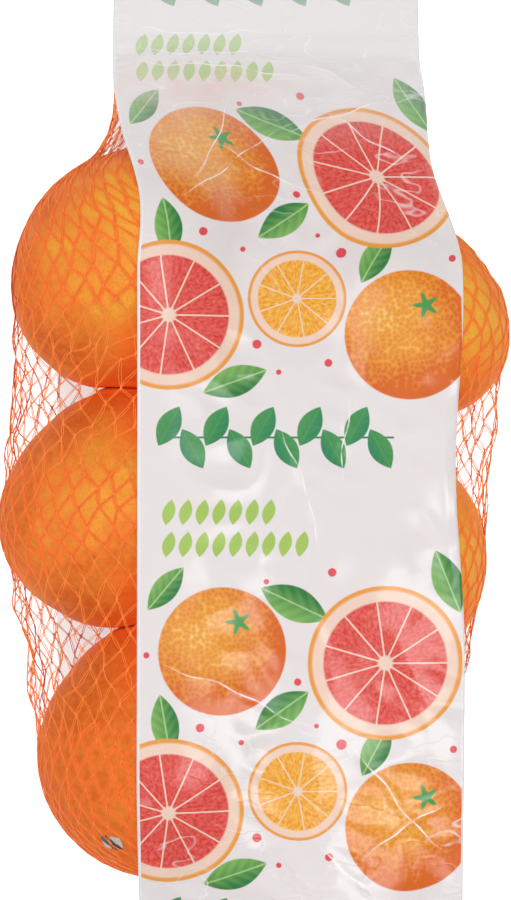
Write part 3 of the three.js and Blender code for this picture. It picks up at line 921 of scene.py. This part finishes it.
def taut_film(y, floor):
    """Height of a film drawn taut from weld to weld over a floor: each point is drawn towards
    (up + down + hoop * (left + right)) / (2 + 2 * hoop), a little past it, and never below the floor."""
    sealed = is_sealed(y)
    height = np.where(sealed[:, None], (seam_height(y) + seam_half_gap(y))[:, None], floor)
    row_step = y[0] - y[1]
    column_step = FILM_WIDTH / (FILM_COLUMNS - 1)
    hoop = FILM_HOOP_SHARE * (row_step / column_step) ** 2
    odd = np.add.outer(np.arange(len(y)), np.arange(FILM_COLUMNS)) % 2 == 1
    free = ~sealed[:, None] & np.ones(FILM_COLUMNS, bool)
    for _ in range(FILM_STEPS):
        for turn in (odd & free, ~odd & free):
            up = np.roll(height, 1, 0)
            down = np.roll(height, -1, 0)
            left = np.concatenate([height[:, :1], height[:, :-1]], 1)
            right = np.concatenate([height[:, 1:], height[:, -1:]], 1)
            taut = (up + down + hoop * (left + right)) / (2 + 2 * hoop)
            drawn = np.maximum(height + OVER_RELAX * (taut - height), floor)
            height[turn] = drawn[turn]
    return height


def creases(x, y, marks):
    """Sharp folds: for each mark, a bell() of the distance from its wavering line, fading at its ends."""
    total = np.zeros(x.shape)
    for x0, y0, x1, y1, height, width in marks:
        run = math.hypot(x1 - x0, y1 - y0)
        ahead = ((x - x0) * (x1 - x0) + (y - y0) * (y1 - y0)) / run
        aside = ((y - y0) * (x1 - x0) - (x - x0) * (y1 - y0)) / run
        for (swing, wavelength), phase in zip(CREASE_WAVER, (x0, y0)):
            aside = aside + swing * np.sin(ahead / wavelength + phase)
        ends = ease(ahead, 0, run / 4) * ease(ahead, run, run * 0.75)
        total += bell(aside, height, width) * ends
    return total


def film_grid(over_fruit, drift):
    """Across and along places of a band's points: rows from header to tab, columns from left to right."""
    y = np.linspace(PACK_LENGTH / 2, -PACK_LENGTH / 2, FILM_ROWS)
    share = np.linspace(0, 1, FILM_COLUMNS)
    left = band_middle(y, over_fruit, drift) - FILM_WIDTH / 2
    return left[:, None] + FILM_WIDTH * share, y


def film_waves(x, along, stretch, number, wavelength, seed):
    """waves() over a band's flat grid, each of whose ways is multiplied by its stretch."""
    return waves(np.stack([x, along, 0 * x], -1) * stretch, number, wavelength, seed)


def tucked_under(y, tucks):
    """The width that an edge's tucks take off the face band: the sum of depth * ease() about each place."""
    return sum(depth * ease(np.abs(y - place), reach, 0) for place, reach, depth in tucks)


def make_face_band(net, material):
    """The printed band: taut_film() over the net's crests, with folds, creases and its edges curled under."""
    x, y = film_grid(FACE_MIDDLE, FACE_DRIFT)
    left_tuck, right_tuck = (tucked_under(y, EDGE_TUCKS[side])[:, None] for side in ("left", "right"))
    left, right = x[:, :1] + left_tuck, x[:, -1:] - right_tuck
    x = blend(left, right, np.linspace(0, 1, FILM_COLUMNS))
    over_back = (back_height(y) + BAND_THICKNESS + GAP)[:, None]
    floor = np.maximum(np.maximum(crest_heights(net, x, y), fruit_tops(x, y)) + FACE_CLEARANCE, over_back)
    height = taut_film(y, floor)
    along = np.repeat(y[:, None], FILM_COLUMNS, 1)
    slack = ease(height - floor, *FACE_SLACK) * ~is_sealed(along)
    ripple = film_waves(x, along, *FACE_RIPPLE)
    crinkle = 1 - np.abs(film_waves(x, along, *FACE_CRINKLE)) * FACE_HEIGHTS["fold"]
    relief = slack * FACE_HEIGHTS["ripple"] * ripple
    relief += (slack * FACE_HEIGHTS["crinkle"] + FACE_HEIGHTS["taut"]) * crinkle
    relief += creases(x, along, FACE_CREASES)
    relief = np.where(is_sealed(along), FACE_HEIGHTS["sealed"] * relief, relief)
    for tuck, inside in ((right_tuck, right - x), (left_tuck, x - left)):
        relief -= EDGE_CURL["drop"] * tuck * ease(inside, EDGE_CURL["width"], 0)
    lower = np.stack([x, along, np.maximum(height + relief, floor - FACE_SINK)], -1)
    place = (x - left) / UV_UNIT, along / UV_UNIT
    film = sheet_piece("face_film", "face_band", lower, [0, 0, FILM_THICKNESS], *place, material)
    film.visible_shadow = False  # light comes through it to the fruit


def make_back_band(material):
    """The plain band: back_height() across its width, with creases where it lifts off the table."""
    x, y = film_grid(BACK_MIDDLE, BACK_DRIFT)
    along = np.repeat(y[:, None], FILM_COLUMNS, 1)
    height = back_height(along)
    lifted = ease(height, *BACK_SLACK) * ~is_sealed(along)
    relief = lifted * (BACK_HEIGHTS["ripple"] * film_waves(x, along, *BACK_RIPPLE) - BACK_HEIGHTS["sag"])
    relief += BACK_HEIGHTS["crinkle"] * np.abs(film_waves(x, along, *BACK_CRINKLE)) * ease(height, 0, 1)
    lower = np.stack([x, along, np.maximum(height + BACK_LIE + relief, BACK_LOWEST)], -1)
    place = (x - x[:, :1]) / UV_UNIT, along / UV_UNIT
    sheet_piece("back_film", "back_band", lower, [0, 0, FILM_THICKNESS], *place, material)


def make_label(material):
    """The small label on the lower left orange: a rounded oblong grid laid on the peel.

    A grid from -1 to 1 both ways is drawn in at its corners, x * sqrt(1 - y * y / 4), and pushed out to
    peel_radius() along its own direction.
    """
    centre, radius = fruit_frame(LABEL["fruit"])[:2]
    middle = unit(np.array(LABEL["direction"]))
    right = unit(np.cross([0, 1, 0], middle))
    up = np.cross(middle, right)
    turn = math.radians(LABEL["turn"])
    c, s = math.cos(turn), math.sin(turn)
    right, up = right * c + up * s, up * c - right * s
    share = np.linspace(-1, 1, LABEL["steps"])
    v, u = np.meshgrid(share, share, indexing="ij")
    across = u * np.sqrt(1 - v * v / 4) * LABEL["width"] / 2
    along = v * np.sqrt(1 - u * u / 4) * LABEL["height"] / 2
    direction = unit(middle * radius + right * across[..., None] + up * along[..., None])
    height = peel_radius(LABEL["fruit"], direction)[0] + LABEL["lift"]
    lower = centre + direction * height[..., None]
    sheet_piece("fruit_label", "net_bag", lower, direction * LABEL["thickness"], u, v, material)


# ---- Materials ----


def colour(code):
    """A linear colour from its six hexadecimal digits."""
    part = np.array([int(code[k : k + 2], 16) for k in (0, 2, 4)]) / 255
    linear = np.where(part <= 0.04045, part / 12.92, ((part + 0.055) / 1.055) ** 2.4)
    return (*linear.tolist(), 1.0)


class Paint:
    """A material whose nodes are added one by one, from its coordinates to its surface."""

    def __init__(self, name, surface):
        self.material = bpy.data.materials.new(name)
        self.material.use_nodes = True
        self.tree = self.material.node_tree
        self.shader = self.tree.nodes["Principled BSDF"]
        self.coat(surface)

    def feed(self, socket, value):
        """Links a socket to the value, or sets it."""
        if isinstance(value, bpy.types.NodeSocket):
            self.tree.links.new(value, socket)
        else:
            socket.default_value = value

    def coat(self, surface):
        """Feeds inputs of the surface, by name; the material is returned."""
        for name, value in surface.items():
            self.feed(self.shader.inputs[name], value)
        return self.material

    def add(self, kind, inputs, output=0, **settings):
        """A new node with its settings and inputs; the output is returned."""
        node = self.tree.nodes.new("ShaderNode" + kind)
        for key, value in settings.items():
            setattr(node, key, value)
        for key, value in inputs.items():
            self.feed(node.inputs[key], value)
        return node.outputs[output]

    def math(self, operation, *values, clamp=False):
        """A number from one operation on others, held from 0 to 1 where it is to clamp."""
        return self.add("Math", dict(enumerate(values)), operation=operation, use_clamp=clamp)

    def times(self, value, factor):
        """value * factor."""
        return self.math("MULTIPLY", value, factor)

    def line(self, value, slope, start, clamp=False):
        """value * slope + start."""
        return self.math("MULTIPLY_ADD", value, slope, start, clamp=clamp)

    def vector(self, operation, *values):
        """A vector, or a number where the operation makes one."""
        number = operation in ("LENGTH", "DISTANCE", "DOT_PRODUCT")
        return self.add("VectorMath", dict(enumerate(values)), int(number), operation=operation)

    def scale(self, vector, factor):
        """A vector times a number."""
        return self.add("VectorMath", {0: vector, "Scale": factor}, operation="SCALE")

    def parts(self, vector):
        """The three numbers of a vector."""
        return self.add("SeparateXYZ", {0: vector}).node.outputs[:]

    def attribute(self, name):
        """One of the mesh's own values."""
        return self.add("Attribute", {}, "Fac", attribute_name=name)

    def mix(self, factor, first, second):
        """The first colour where the factor is 0, the second where it is 1."""
        return self.add("Mix", {0: factor, 6: first, 7: second}, 2, data_type="RGBA")

    def tinted(self, base, mask, share, code):
        """The base colour with a share of another one where the mask is 1."""
        return self.mix(self.times(mask, share), base, colour(code))

    def ramp(self, value, low, high):
        """0 where the value is low, 1 where it is high, and straight between. low may be the larger."""
        return self.add("MapRange", {"Value": value, "From Min": low, "From Max": high})

    def place(self):
        """Object coordinates in millimetres."""
        return self.scale(self.add("TexCoord", {}, "Object"), 1 / MM)

    def map_place(self):
        """Places on a band's map, in millimetres."""
        return self.scale(self.add("UVMap", {}, uv_map="print"), UV_UNIT)

    def noise(self, vector, wavelength, detail=2.0, roughness=0.5):
        """Smooth noise from 0 to 1, with finer noise over it by its detail and roughness."""
        inputs = {"Vector": vector, "Scale": 1 / wavelength, "Detail": detail, "Roughness": roughness}
        return self.add("TexNoise", inputs, "Fac")

    def bump(self, height, distance, strength):
        """Feeds the surface's normal with a bump whose full height is distance, in millimetres."""
        inputs = {"Height": height, "Distance": distance * MM, "Strength": strength}
        self.coat({"Normal": self.add("Bump", inputs)})


def net_material(name, code):
    """Orange drawn thread: its roughness and fine grooves vary along it."""
    paint = Paint(name, {"Base Color": colour(code), "Specular IOR Level": THREAD["gloss"]})
    place = paint.place()
    paint.bump(paint.noise(place, THREAD["grooves"]), *THREAD["bump"])
    return paint.coat({"Roughness": paint.line(paint.noise(place, THREAD["patches"]), *THREAD["rough"])})


def peel_material():
    """Waxed orange peel: broad patches of two oranges, deeper down its sides as painted shade, oil pits, redder
    with painted bounce light where it is close to another fruit, redder with a painted shadow of the net where
    the net presses, and a brown-green stem."""
    paint = Paint("orange_peel", {"Specular IOR Level": PEEL_FORM["gloss"]})
    place = paint.place()
    deepening = paint.line(paint.attribute("tone"), *PEEL_FORM["deepening"])
    patches = paint.line(paint.noise(place, PEEL_WAVES["patches"], detail=3), *PEEL_FORM["patches"])
    patches = paint.math("SUBTRACT", patches, deepening)
    deep = paint.ramp(patches, *PEEL_FORM["deep"])
    skin = paint.mix(deep, colour(PEEL["deepest"]), colour(PEEL["deep"]))
    skin = paint.mix(paint.ramp(patches, *PEEL_FORM["bright"]), skin, colour(PEEL["bright"]))
    mottle = paint.ramp(paint.noise(place, PEEL_WAVES["mottle"]), *PEEL_FORM["mottle"])
    pits = {"Vector": place, "Scale": 1 / PEEL_WAVES["pits"]}
    pit = paint.ramp(paint.add("TexVoronoi", pits, "Distance", feature="F1"), *PEEL_FORM["pits"])
    masks = {"mottle": mottle, "pit": pit} | {name: paint.attribute(name) for name in ("bounce_light", "pressed")}
    # The last two masks lay painted light: bounce light beside other fruit, and the net's shadow where it lies
    # on the peel.
    for name, mask in masks.items():
        skin = paint.tinted(skin, mask, PEEL_SHARES[name], PEEL[name])
    stem = paint.attribute("stem")
    bark = paint.noise(place, PEEL_WAVES["bark"])
    bark = paint.mix(bark, colour(PEEL["stem_dark"]), colour(PEEL["stem_light"]))
    pebbles = paint.times(paint.noise(place, PEEL_WAVES["pebbles"]), PEEL_FORM["pebbles"])
    paint.bump(paint.line(pit, -1.0, pebbles), *PEEL_FORM["bump"])
    rough = paint.line(stem, PEEL_FORM["bark_rough"], paint.line(mottle, *PEEL_FORM["rough"]))
    return paint.coat({"Base Color": paint.mix(stem, skin, bark), "Roughness": rough})


def film_relief(paint, place, lively=1.0):
    """Fine crinkles of thin film: narrow ridges of stretched noise, folded about their middle, as high as
    the film is lively."""
    stretched = paint.vector("MULTIPLY", place, FILM["stretch"])
    fold = paint.math("ABSOLUTE", paint.math("SUBTRACT", paint.noise(stretched, FILM["folds"]), 0.5))
    ridge = paint.times(paint.ramp(fold, *FILM["ridge"]), lively)
    softer = paint.noise(stretched, FILM["soft"], detail=3)
    paint.bump(paint.line(ridge, FILM["ridge_height"], softer), *FILM["bump"])
    return ridge


class Print:
    """Motifs printed over a ground, one after another, each a mask and an ink."""

    def __init__(self, paint, place, ground):
        self.paint = paint
        self.place = place
        self.ink = ground

    def lay(self, mask, ink):
        """Lays an ink over the print where the mask is 1."""
        self.ink = self.paint.mix(mask, self.ink, ink)

    def from_centre(self, centre):
        """The place less a motif's middle."""
        return self.paint.vector("SUBTRACT", self.place, (*centre, 0))

    def share(self, away, radius):
        """The distance from a motif's middle as a share of its radius."""
        return self.paint.math("DIVIDE", self.paint.vector("LENGTH", away), radius)

    def angle(self, away, times):
        """The angle about a motif's middle, times a number."""
        across, along, _ = self.paint.parts(away)
        return self.paint.times(self.paint.math("ARCTAN2", along, across), times)

    def lens(self, along, aside, length, width, soft):
        """1 where aside is less than width / 2 * (1 - (2 * along / length)^2), with a soft edge inside it."""
        run = self.paint.math("DIVIDE", along, length / 2)
        edge = self.paint.line(self.paint.times(run, run), -width / 2, width / 2)
        return self.paint.ramp(self.paint.math("SUBTRACT", edge, aside), 0.0, soft)

    def slice(self, centre, radius, segments, rind, pith, dark, light):
        """A round cut fruit: rind, pith, and wedges of flesh between their membranes.

        A wedge is where |sin(segments * angle / 2)| * share of the radius and the share left to the pith
        both exceed a membrane's half width. The flesh is noise drawn out along the radius.
        """
        paint = self.paint
        away = self.from_centre(centre)
        share = self.share(away, radius)
        spoke = paint.math("ABSOLUTE", paint.math("SINE", self.angle(away, segments / 2)))
        to_pith = paint.math("SUBTRACT", SLICE["flesh"], share)
        wedge = paint.ramp(paint.math("MINIMUM", paint.times(spoke, share), to_pith), *SLICE["membrane"])
        wedge = paint.times(wedge, paint.ramp(share, *SLICE["core"]))
        rays = paint.vector("MULTIPLY_ADD", paint.vector("NORMALIZE", away), SLICE["rays"], away)
        streaks = paint.ramp(paint.noise(rays, *SLICE["grain"]), *SLICE["streaks"])
        flesh = paint.mix(streaks, dark, light)
        self.lay(paint.ramp(share, *SLICE["rind"]), rind)
        self.lay(paint.ramp(share, *SLICE["pith"]), pith)
        self.lay(wedge, flesh)

    def fruit(self, centre, radius, dark, light, glint, calyx):
        """A whole fruit: a disc from a light side to a dark one, pebbled, with a green star at its stem.

        The star is where distance * (1 + 0.45 * cos(5 * angle)) from the stem is less than its radius.
        """
        paint = self.paint
        away = self.from_centre(centre)
        share = self.share(away, radius)
        lit = paint.vector("DOT_PRODUCT", away, (*(part / radius for part in WHOLE["light"]), 0))
        pores = {"Vector": away, "Scale": 1 / WHOLE["pores"]}
        pores = paint.add("TexVoronoi", pores, "Distance", voronoi_dimensions="2D")
        pebbles = paint.line(pores, *WHOLE["pebbles"])
        cloud = paint.line(paint.noise(away, WHOLE["clouds"], detail=3), *WHOLE["cloud"])
        tone = paint.math("SUBTRACT", paint.math("ADD", lit, pebbles), paint.times(share, share))
        tone = paint.math("ADD", tone, cloud)
        skin = paint.mix(paint.ramp(tone, *WHOLE["skin"]), dark, light)
        shine = paint.times(paint.ramp(tone, *WHOLE["shine"]), WHOLE["most_shine"])
        self.lay(paint.ramp(share, *WHOLE["edge"]), paint.mix(shine, skin, glint))
        stem = paint.vector("SUBTRACT", away, tuple(radius * part for part in WHOLE["stem"]))
        points = paint.line(paint.math("COSINE", self.angle(stem, WHOLE["tips"])), *WHOLE["points"])
        star = paint.times(paint.vector("LENGTH", stem), points)
        self.lay(paint.ramp(star, *(radius * part for part in WHOLE["star"])), calyx)

    def row(self, first, pitch, count):
        """Places seen from the nearest middle of a row of count, pitch apart; beyond the row they stay as
        seen from its last."""
        paint = self.paint
        away = self.from_centre(first)
        nearest = paint.math("ROUND", paint.math("DIVIDE", paint.parts(away)[0], pitch))
        nearest = paint.math("MINIMUM", paint.math("MAXIMUM", nearest, 0), count - 1)
        middle = paint.add("CombineXYZ", {0: paint.times(nearest, pitch)})
        return paint.vector("SUBTRACT", away, middle)

    def leaf(self, away, length, width, degrees, dark, light, vein):
        """A leaf along its middle line, of lens()'s shape.

        One half is darker than the other, with a pale middle vein and slanting side veins.
        """
        paint = self.paint
        c, s = math.cos(math.radians(degrees)), math.sin(math.radians(degrees))
        along = paint.vector("DOT_PRODUCT", away, (c, s, 0))
        across = paint.vector("DOT_PRODUCT", away, (-s, c, 0))
        aside = paint.math("ABSOLUTE", across)
        halves = paint.ramp(across, *(width * part for part in LEAF["halves"]))
        slant = paint.times(paint.math("SUBTRACT", along, aside), LEAF["stripes"] / width)
        stripes = paint.line(paint.math("SINE", slant), LEAF["strength"], halves, clamp=True)
        blade = paint.mix(paint.ramp(aside, *LEAF["vein"]), paint.mix(stripes, dark, light), vein)
        self.lay(self.lens(along, aside, length, width, LEAF["edge"]), blade)

    def drops(self, marks, ink):
        """Round drops, laid at once: all that lies nearer to one's middle than its radius."""
        paint = self.paint
        beyond = 1.0
        for x, y, radius in marks:
            distance = paint.vector("DISTANCE", self.place, (x, y, 0))
            beyond = paint.math("MINIMUM", paint.math("SUBTRACT", distance, radius), beyond)
        self.lay(paint.ramp(beyond, 0, -INK_EDGE), ink)

    def stripe(self, centre, length, height, ink):
        """A level stripe with rounded ends: all that is nearer than half its height to its middle line."""
        paint = self.paint
        away = paint.vector("ABSOLUTE", self.from_centre(centre))
        reach = paint.vector("MINIMUM", away, ((length - height) / 2, 0, 0))
        rest = paint.vector("LENGTH", paint.vector("SUBTRACT", away, reach))
        self.lay(paint.ramp(rest, height / 2, height / 2 - INK_EDGE), ink)

    def petals(self, first, count, pitch, width, height, slant, ink):
        """A row of slanting petals, pitch apart, each of lens()'s shape."""
        paint = self.paint
        across, along, _ = paint.parts(self.from_centre(first))
        leaned = paint.line(along, -slant, across)
        aside = paint.math("ABSOLUTE", paint.math("WRAP", leaned, pitch / 2, -pitch / 2))
        from_middle = paint.math("ABSOLUTE", paint.math("SUBTRACT", leaned, (count - 1) * pitch / 2))
        half_row = count * pitch / 2
        inside = paint.ramp(from_middle, half_row, half_row - PETAL_ROW_EDGE)
        self.lay(paint.times(self.lens(along, aside, height, width, INK_EDGE), inside), ink)


def margins(paint, across):
    """1 in the bare margin down either side of a band and 0 between them."""
    left, right = MARGINS[0], FILM_WIDTH - MARGINS[1]
    on_left = paint.ramp(across, left + MARGIN_EDGE, left)
    return paint.math("MAXIMUM", on_left, paint.ramp(across, right - MARGIN_EDGE, right))


def face_artwork(paint, place):
    """The band's print: cut and whole citrus fruit with leaves and drops, and between them a garland of
    leaves over rows of pale petals, repeated along the band."""
    across, along, _ = paint.parts(place)
    repeat = paint.math("WRAP", along, PRINT_END + PRINT_REPEAT, PRINT_END)
    ink = {name: colour(code) for name, code in INKS.items()}
    art = Print(paint, paint.add("CombineXYZ", {0: across, 1: repeat}), ink["ground"])
    for first, count in PETAL_ROWS:
        art.petals(first, count, *PETAL.values(), ink["pale_green"])
    art.stripe(*GARLAND_STEM, ink["deep_green"])
    for first, *form in GARLAND:
        away = art.row(first, *GARLAND_LEAVES.values())
        art.leaf(away, *form, ink["deep_green"], ink["mid_green"], ink["mid_green"])
    for centre, *form in LEAVES:
        art.leaf(art.from_centre(centre), *form, ink["leaf_dark"], ink["leaf_light"], ink["vein"])
    for *form, flesh in SLICES:
        art.slice(*form, ink["peel"], ink["pith"], ink[flesh + "_dark"], ink[flesh + "_light"])
    for centre, radius in WHOLE_FRUIT:
        art.fruit(centre, radius, ink["fruit_dark"], ink["fruit_light"], ink["fruit_glint"], ink["mid_green"])
    art.drops(DROPS, ink["drop"])
    art.lay(margins(paint, across), ink["margin"])
    return art.ink


def crease_lines(paint, place, marks):
    """1 on the crest of each fold that creases() makes, and 0 beside it."""
    lines = 0.0
    for x0, y0, x1, y1, *_ in marks:
        run = math.hypot(x1 - x0, y1 - y0)
        away = paint.vector("SUBTRACT", place, (x0, y0, 0))
        ahead = paint.vector("DOT_PRODUCT", away, ((x1 - x0) / run, (y1 - y0) / run, 0))
        aside = paint.vector("DOT_PRODUCT", away, ((y0 - y1) / run, (x1 - x0) / run, 0))
        for (swing, wavelength), phase in zip(CREASE_WAVER, (x0, y0)):
            aside = paint.line(paint.math("SINE", paint.line(ahead, 1 / wavelength, phase)), swing, aside)
        from_middle = paint.math("ABSOLUTE", paint.math("SUBTRACT", ahead, run / 2))
        line = paint.ramp(paint.math("ABSOLUTE", aside), *CREASE_LINE)
        line = paint.times(line, paint.ramp(from_middle, run / 2, run / 4))
        lines = paint.math("MAXIMUM", line, lines)
    return lines


def face_material():
    """Glossy printed film, a little see-through, with fine crinkles that catch the light, painted glints on its
    ridges and creases, a painted sheen towards the header and, at the header, the tint of the net gathered
    behind it."""
    paint = Paint("printed_film", {"Alpha": FACE_ALPHA, "Specular IOR Level": FILM["gloss"]})
    place, on_film = paint.map_place(), paint.place()
    art = face_artwork(paint, place)
    half_width, half_height = NET_TINT["half"]
    away = paint.vector("SUBTRACT", place, NET_TINT["middle"])
    away = paint.vector("MULTIPLY", away, (1 / half_width, 1 / half_height, 0))
    gathered = paint.ramp(paint.vector("LENGTH", away), *NET_TINT["edge"])
    cloud = paint.ramp(paint.noise(place, NET_TINT["clouds"], detail=3), *NET_TINT["cloud"])
    art = paint.tinted(art, paint.times(gathered, cloud), NET_TINT["share"], INKS["behind"])
    along = paint.parts(place)[1]
    # A painted sheen, whitish towards the header.
    places, most = HEADER_SHEEN
    art = paint.tinted(art, paint.ramp(along, *places), most, INKS["glint"])
    lively = paint.math("MAXIMUM", *(paint.ramp(along, *LIVELY[end]) for end in ("header", "tab")))
    ridge = film_relief(paint, on_film, paint.line(lively, *FILM["calm"]))
    crinkled = paint.ramp(paint.noise(place, GLINTS["patches"]), *GLINTS["patch"])
    glints = paint.times(paint.times(ridge, crinkled), GLINTS["ridges"])
    broken = paint.ramp(paint.noise(place, GLINTS["breaks"]), *GLINTS["broken"])
    lines = paint.times(crease_lines(paint, on_film, FACE_CREASES), broken)
    glints = paint.math("MAXIMUM", glints, paint.times(lines, GLINTS["creases"]))
    # Painted highlights: glints mixed into the film's colour.
    face = paint.mix(glints, art, colour(INKS["glint"]))
    return paint.coat({"Base Color": face, "Roughness": paint.line(ridge, *FILM["face_rough"])})


def back_material():
    """Glossy plain film of the same make, with a bare margin down both sides, and a painted glow for the light
    that comes up through it from the floor.
    """
    paint = Paint("plain_film", {"Alpha": BACK_ALPHA, "Specular IOR Level": FILM["gloss"]})
    place = paint.map_place()
    cloud = paint.mix(paint.noise(place, FILM["clouds"]), colour(BACK_FILM["dull"]), colour(BACK_FILM["clear"]))
    # Painted light: the film glows as if lit through from the floor.
    paint.coat({"Emission Color": colour(BACK_FILM["glow"]), "Emission Strength": BACK_FILM_GLOW})
    ridge = film_relief(paint, paint.place())
    face = paint.mix(margins(paint, paint.parts(place)[0]), cloud, colour(INKS["margin"]))
    return paint.coat({"Base Color": face, "Roughness": paint.line(ridge, *FILM["back_rough"])})


def label_material():
    """Glossy paper: slanting dark and pale fields."""
    paint = Paint("fruit_label", {"Roughness": LABEL_FORM["rough"]})
    place = paint.place()
    slant = paint.vector("DOT_PRODUCT", paint.add("UVMap", {}, uv_map="print"), LABEL_FORM["slant"])
    bar = paint.math("ABSOLUTE", paint.math("ADD", slant, LABEL_FORM["shift"]))
    fields = paint.ramp(bar, *LABEL_FORM["bar"])
    fields = paint.mix(fields, colour(LABEL_INKS["dark"]), colour(LABEL_INKS["pale"]))
    grain = paint.noise(place, LABEL_FORM["grain"])
    paint.bump(paint.noise(place, LABEL_FORM["fibres"]), *LABEL_FORM["bump"])
    return paint.coat({"Base Color": paint.tinted(fields, grain, LABEL_FORM["share"], LABEL_INKS["grain"])})


def floor_material():
    """Pale matt board."""
    paint = Paint("pale_board", {"Roughness": FLOOR["rough"], "Specular IOR Level": FLOOR["gloss"]})
    cloud = paint.noise(paint.place(), FLOOR["clouds"])
    cloud = paint.mix(cloud, *(colour(code) for code in FLOOR["colours"]))
    return paint.coat({"Base Color": cloud, "Emission Color": cloud, "Emission Strength": FLOOR_GLOW})


# ---- Stage ----


def make_floor():
    """A flat pale floor under the pack, far wider than the view."""
    points = np.array([[-1, -1, 0], [1, -1, 0], [1, 1, 0], [-1, 1, 0]]) * FLOOR["half"] * MM
    mesh = bpy.data.meshes.new("floor")
    mesh.from_pydata(points.tolist(), [], [(0, 1, 2, 3)])
    mesh.materials.append(floor_material())
    floor = bpy.data.objects.new("floor", mesh)
    bpy.context.scene.collection.objects.link(floor)


def make_light(name, place, aim, size, power, glossy):
    """A square soft light at a place, turned to face its aim. Places are in millimetres."""
    lamp = bpy.data.lights.new(name, "AREA")
    lamp.size = size * MM
    lamp.energy = power
    light = bpy.data.objects.new(name, lamp)
    light.location = np.array(place) * MM
    ray = Vector(aim) - Vector(place)
    light.rotation_euler = ray.to_track_quat("-Z", "Y").to_euler()
    light.visible_glossy = glossy
    bpy.context.scene.collection.objects.link(light)


def make_stage():
    """Floor, soft lights, a pale surround and the camera, which looks straight down on the pack."""
    make_floor()
    for name, place, size, power, glossy in LIGHTS:
        make_light(name, place, CAMERA_AIM, size, power, glossy)
    world = bpy.data.worlds.new("pale_surround")
    world.use_nodes = True
    background = world.node_tree.nodes["Background"].inputs
    background["Color"].default_value = (1, 1, 1, 1)
    background["Strength"].default_value = SURROUND
    bpy.context.scene.world = world
    bpy.context.scene.view_settings.view_transform = "Standard"

    view = bpy.data.cameras.new("camera")
    view.sensor_fit = "AUTO"
    view.sensor_width = SENSOR
    view.lens = SENSOR / 2 / (IMAGE_HEIGHT / 2 / CAMERA_SCALE)
    view.clip_start, view.clip_end = CAMERA_RANGE
    camera = bpy.data.objects.new("camera", view)
    camera.location = (CAMERA_AIM[0] * MM, CAMERA_AIM[1] * MM, CAMERA_HEIGHT * MM)
    bpy.context.scene.collection.objects.link(camera)
    bpy.context.scene.camera = camera


# ---- The pack ----

make_stage()

net = tight_net()
sleeve, girth = even_sleeve(net, SLEEVE_FINER * KNOT_ROWS + 1, SLEEVE_FINER * CELLS_AROUND)
sleeve = ruffle(sleeve)
upper_thread = net_material("orange_net_thread", NET_COLOURS["upper"])
# The strands under the pack take a darker copy of the thread: painted shade.
shaded_under_thread = net_material("orange_net_thread_shaded_below", NET_COLOURS["under"])
strands = make_strands(sleeve, girth, upper_thread, shaded_under_thread)
make_knots(sleeve, upper_thread)

peel = peel_material()
for fruit in FRUIT:
    make_fruit(fruit, strands, peel)
make_label(label_material())
make_face_band(net, face_material())
make_back_band(back_material())
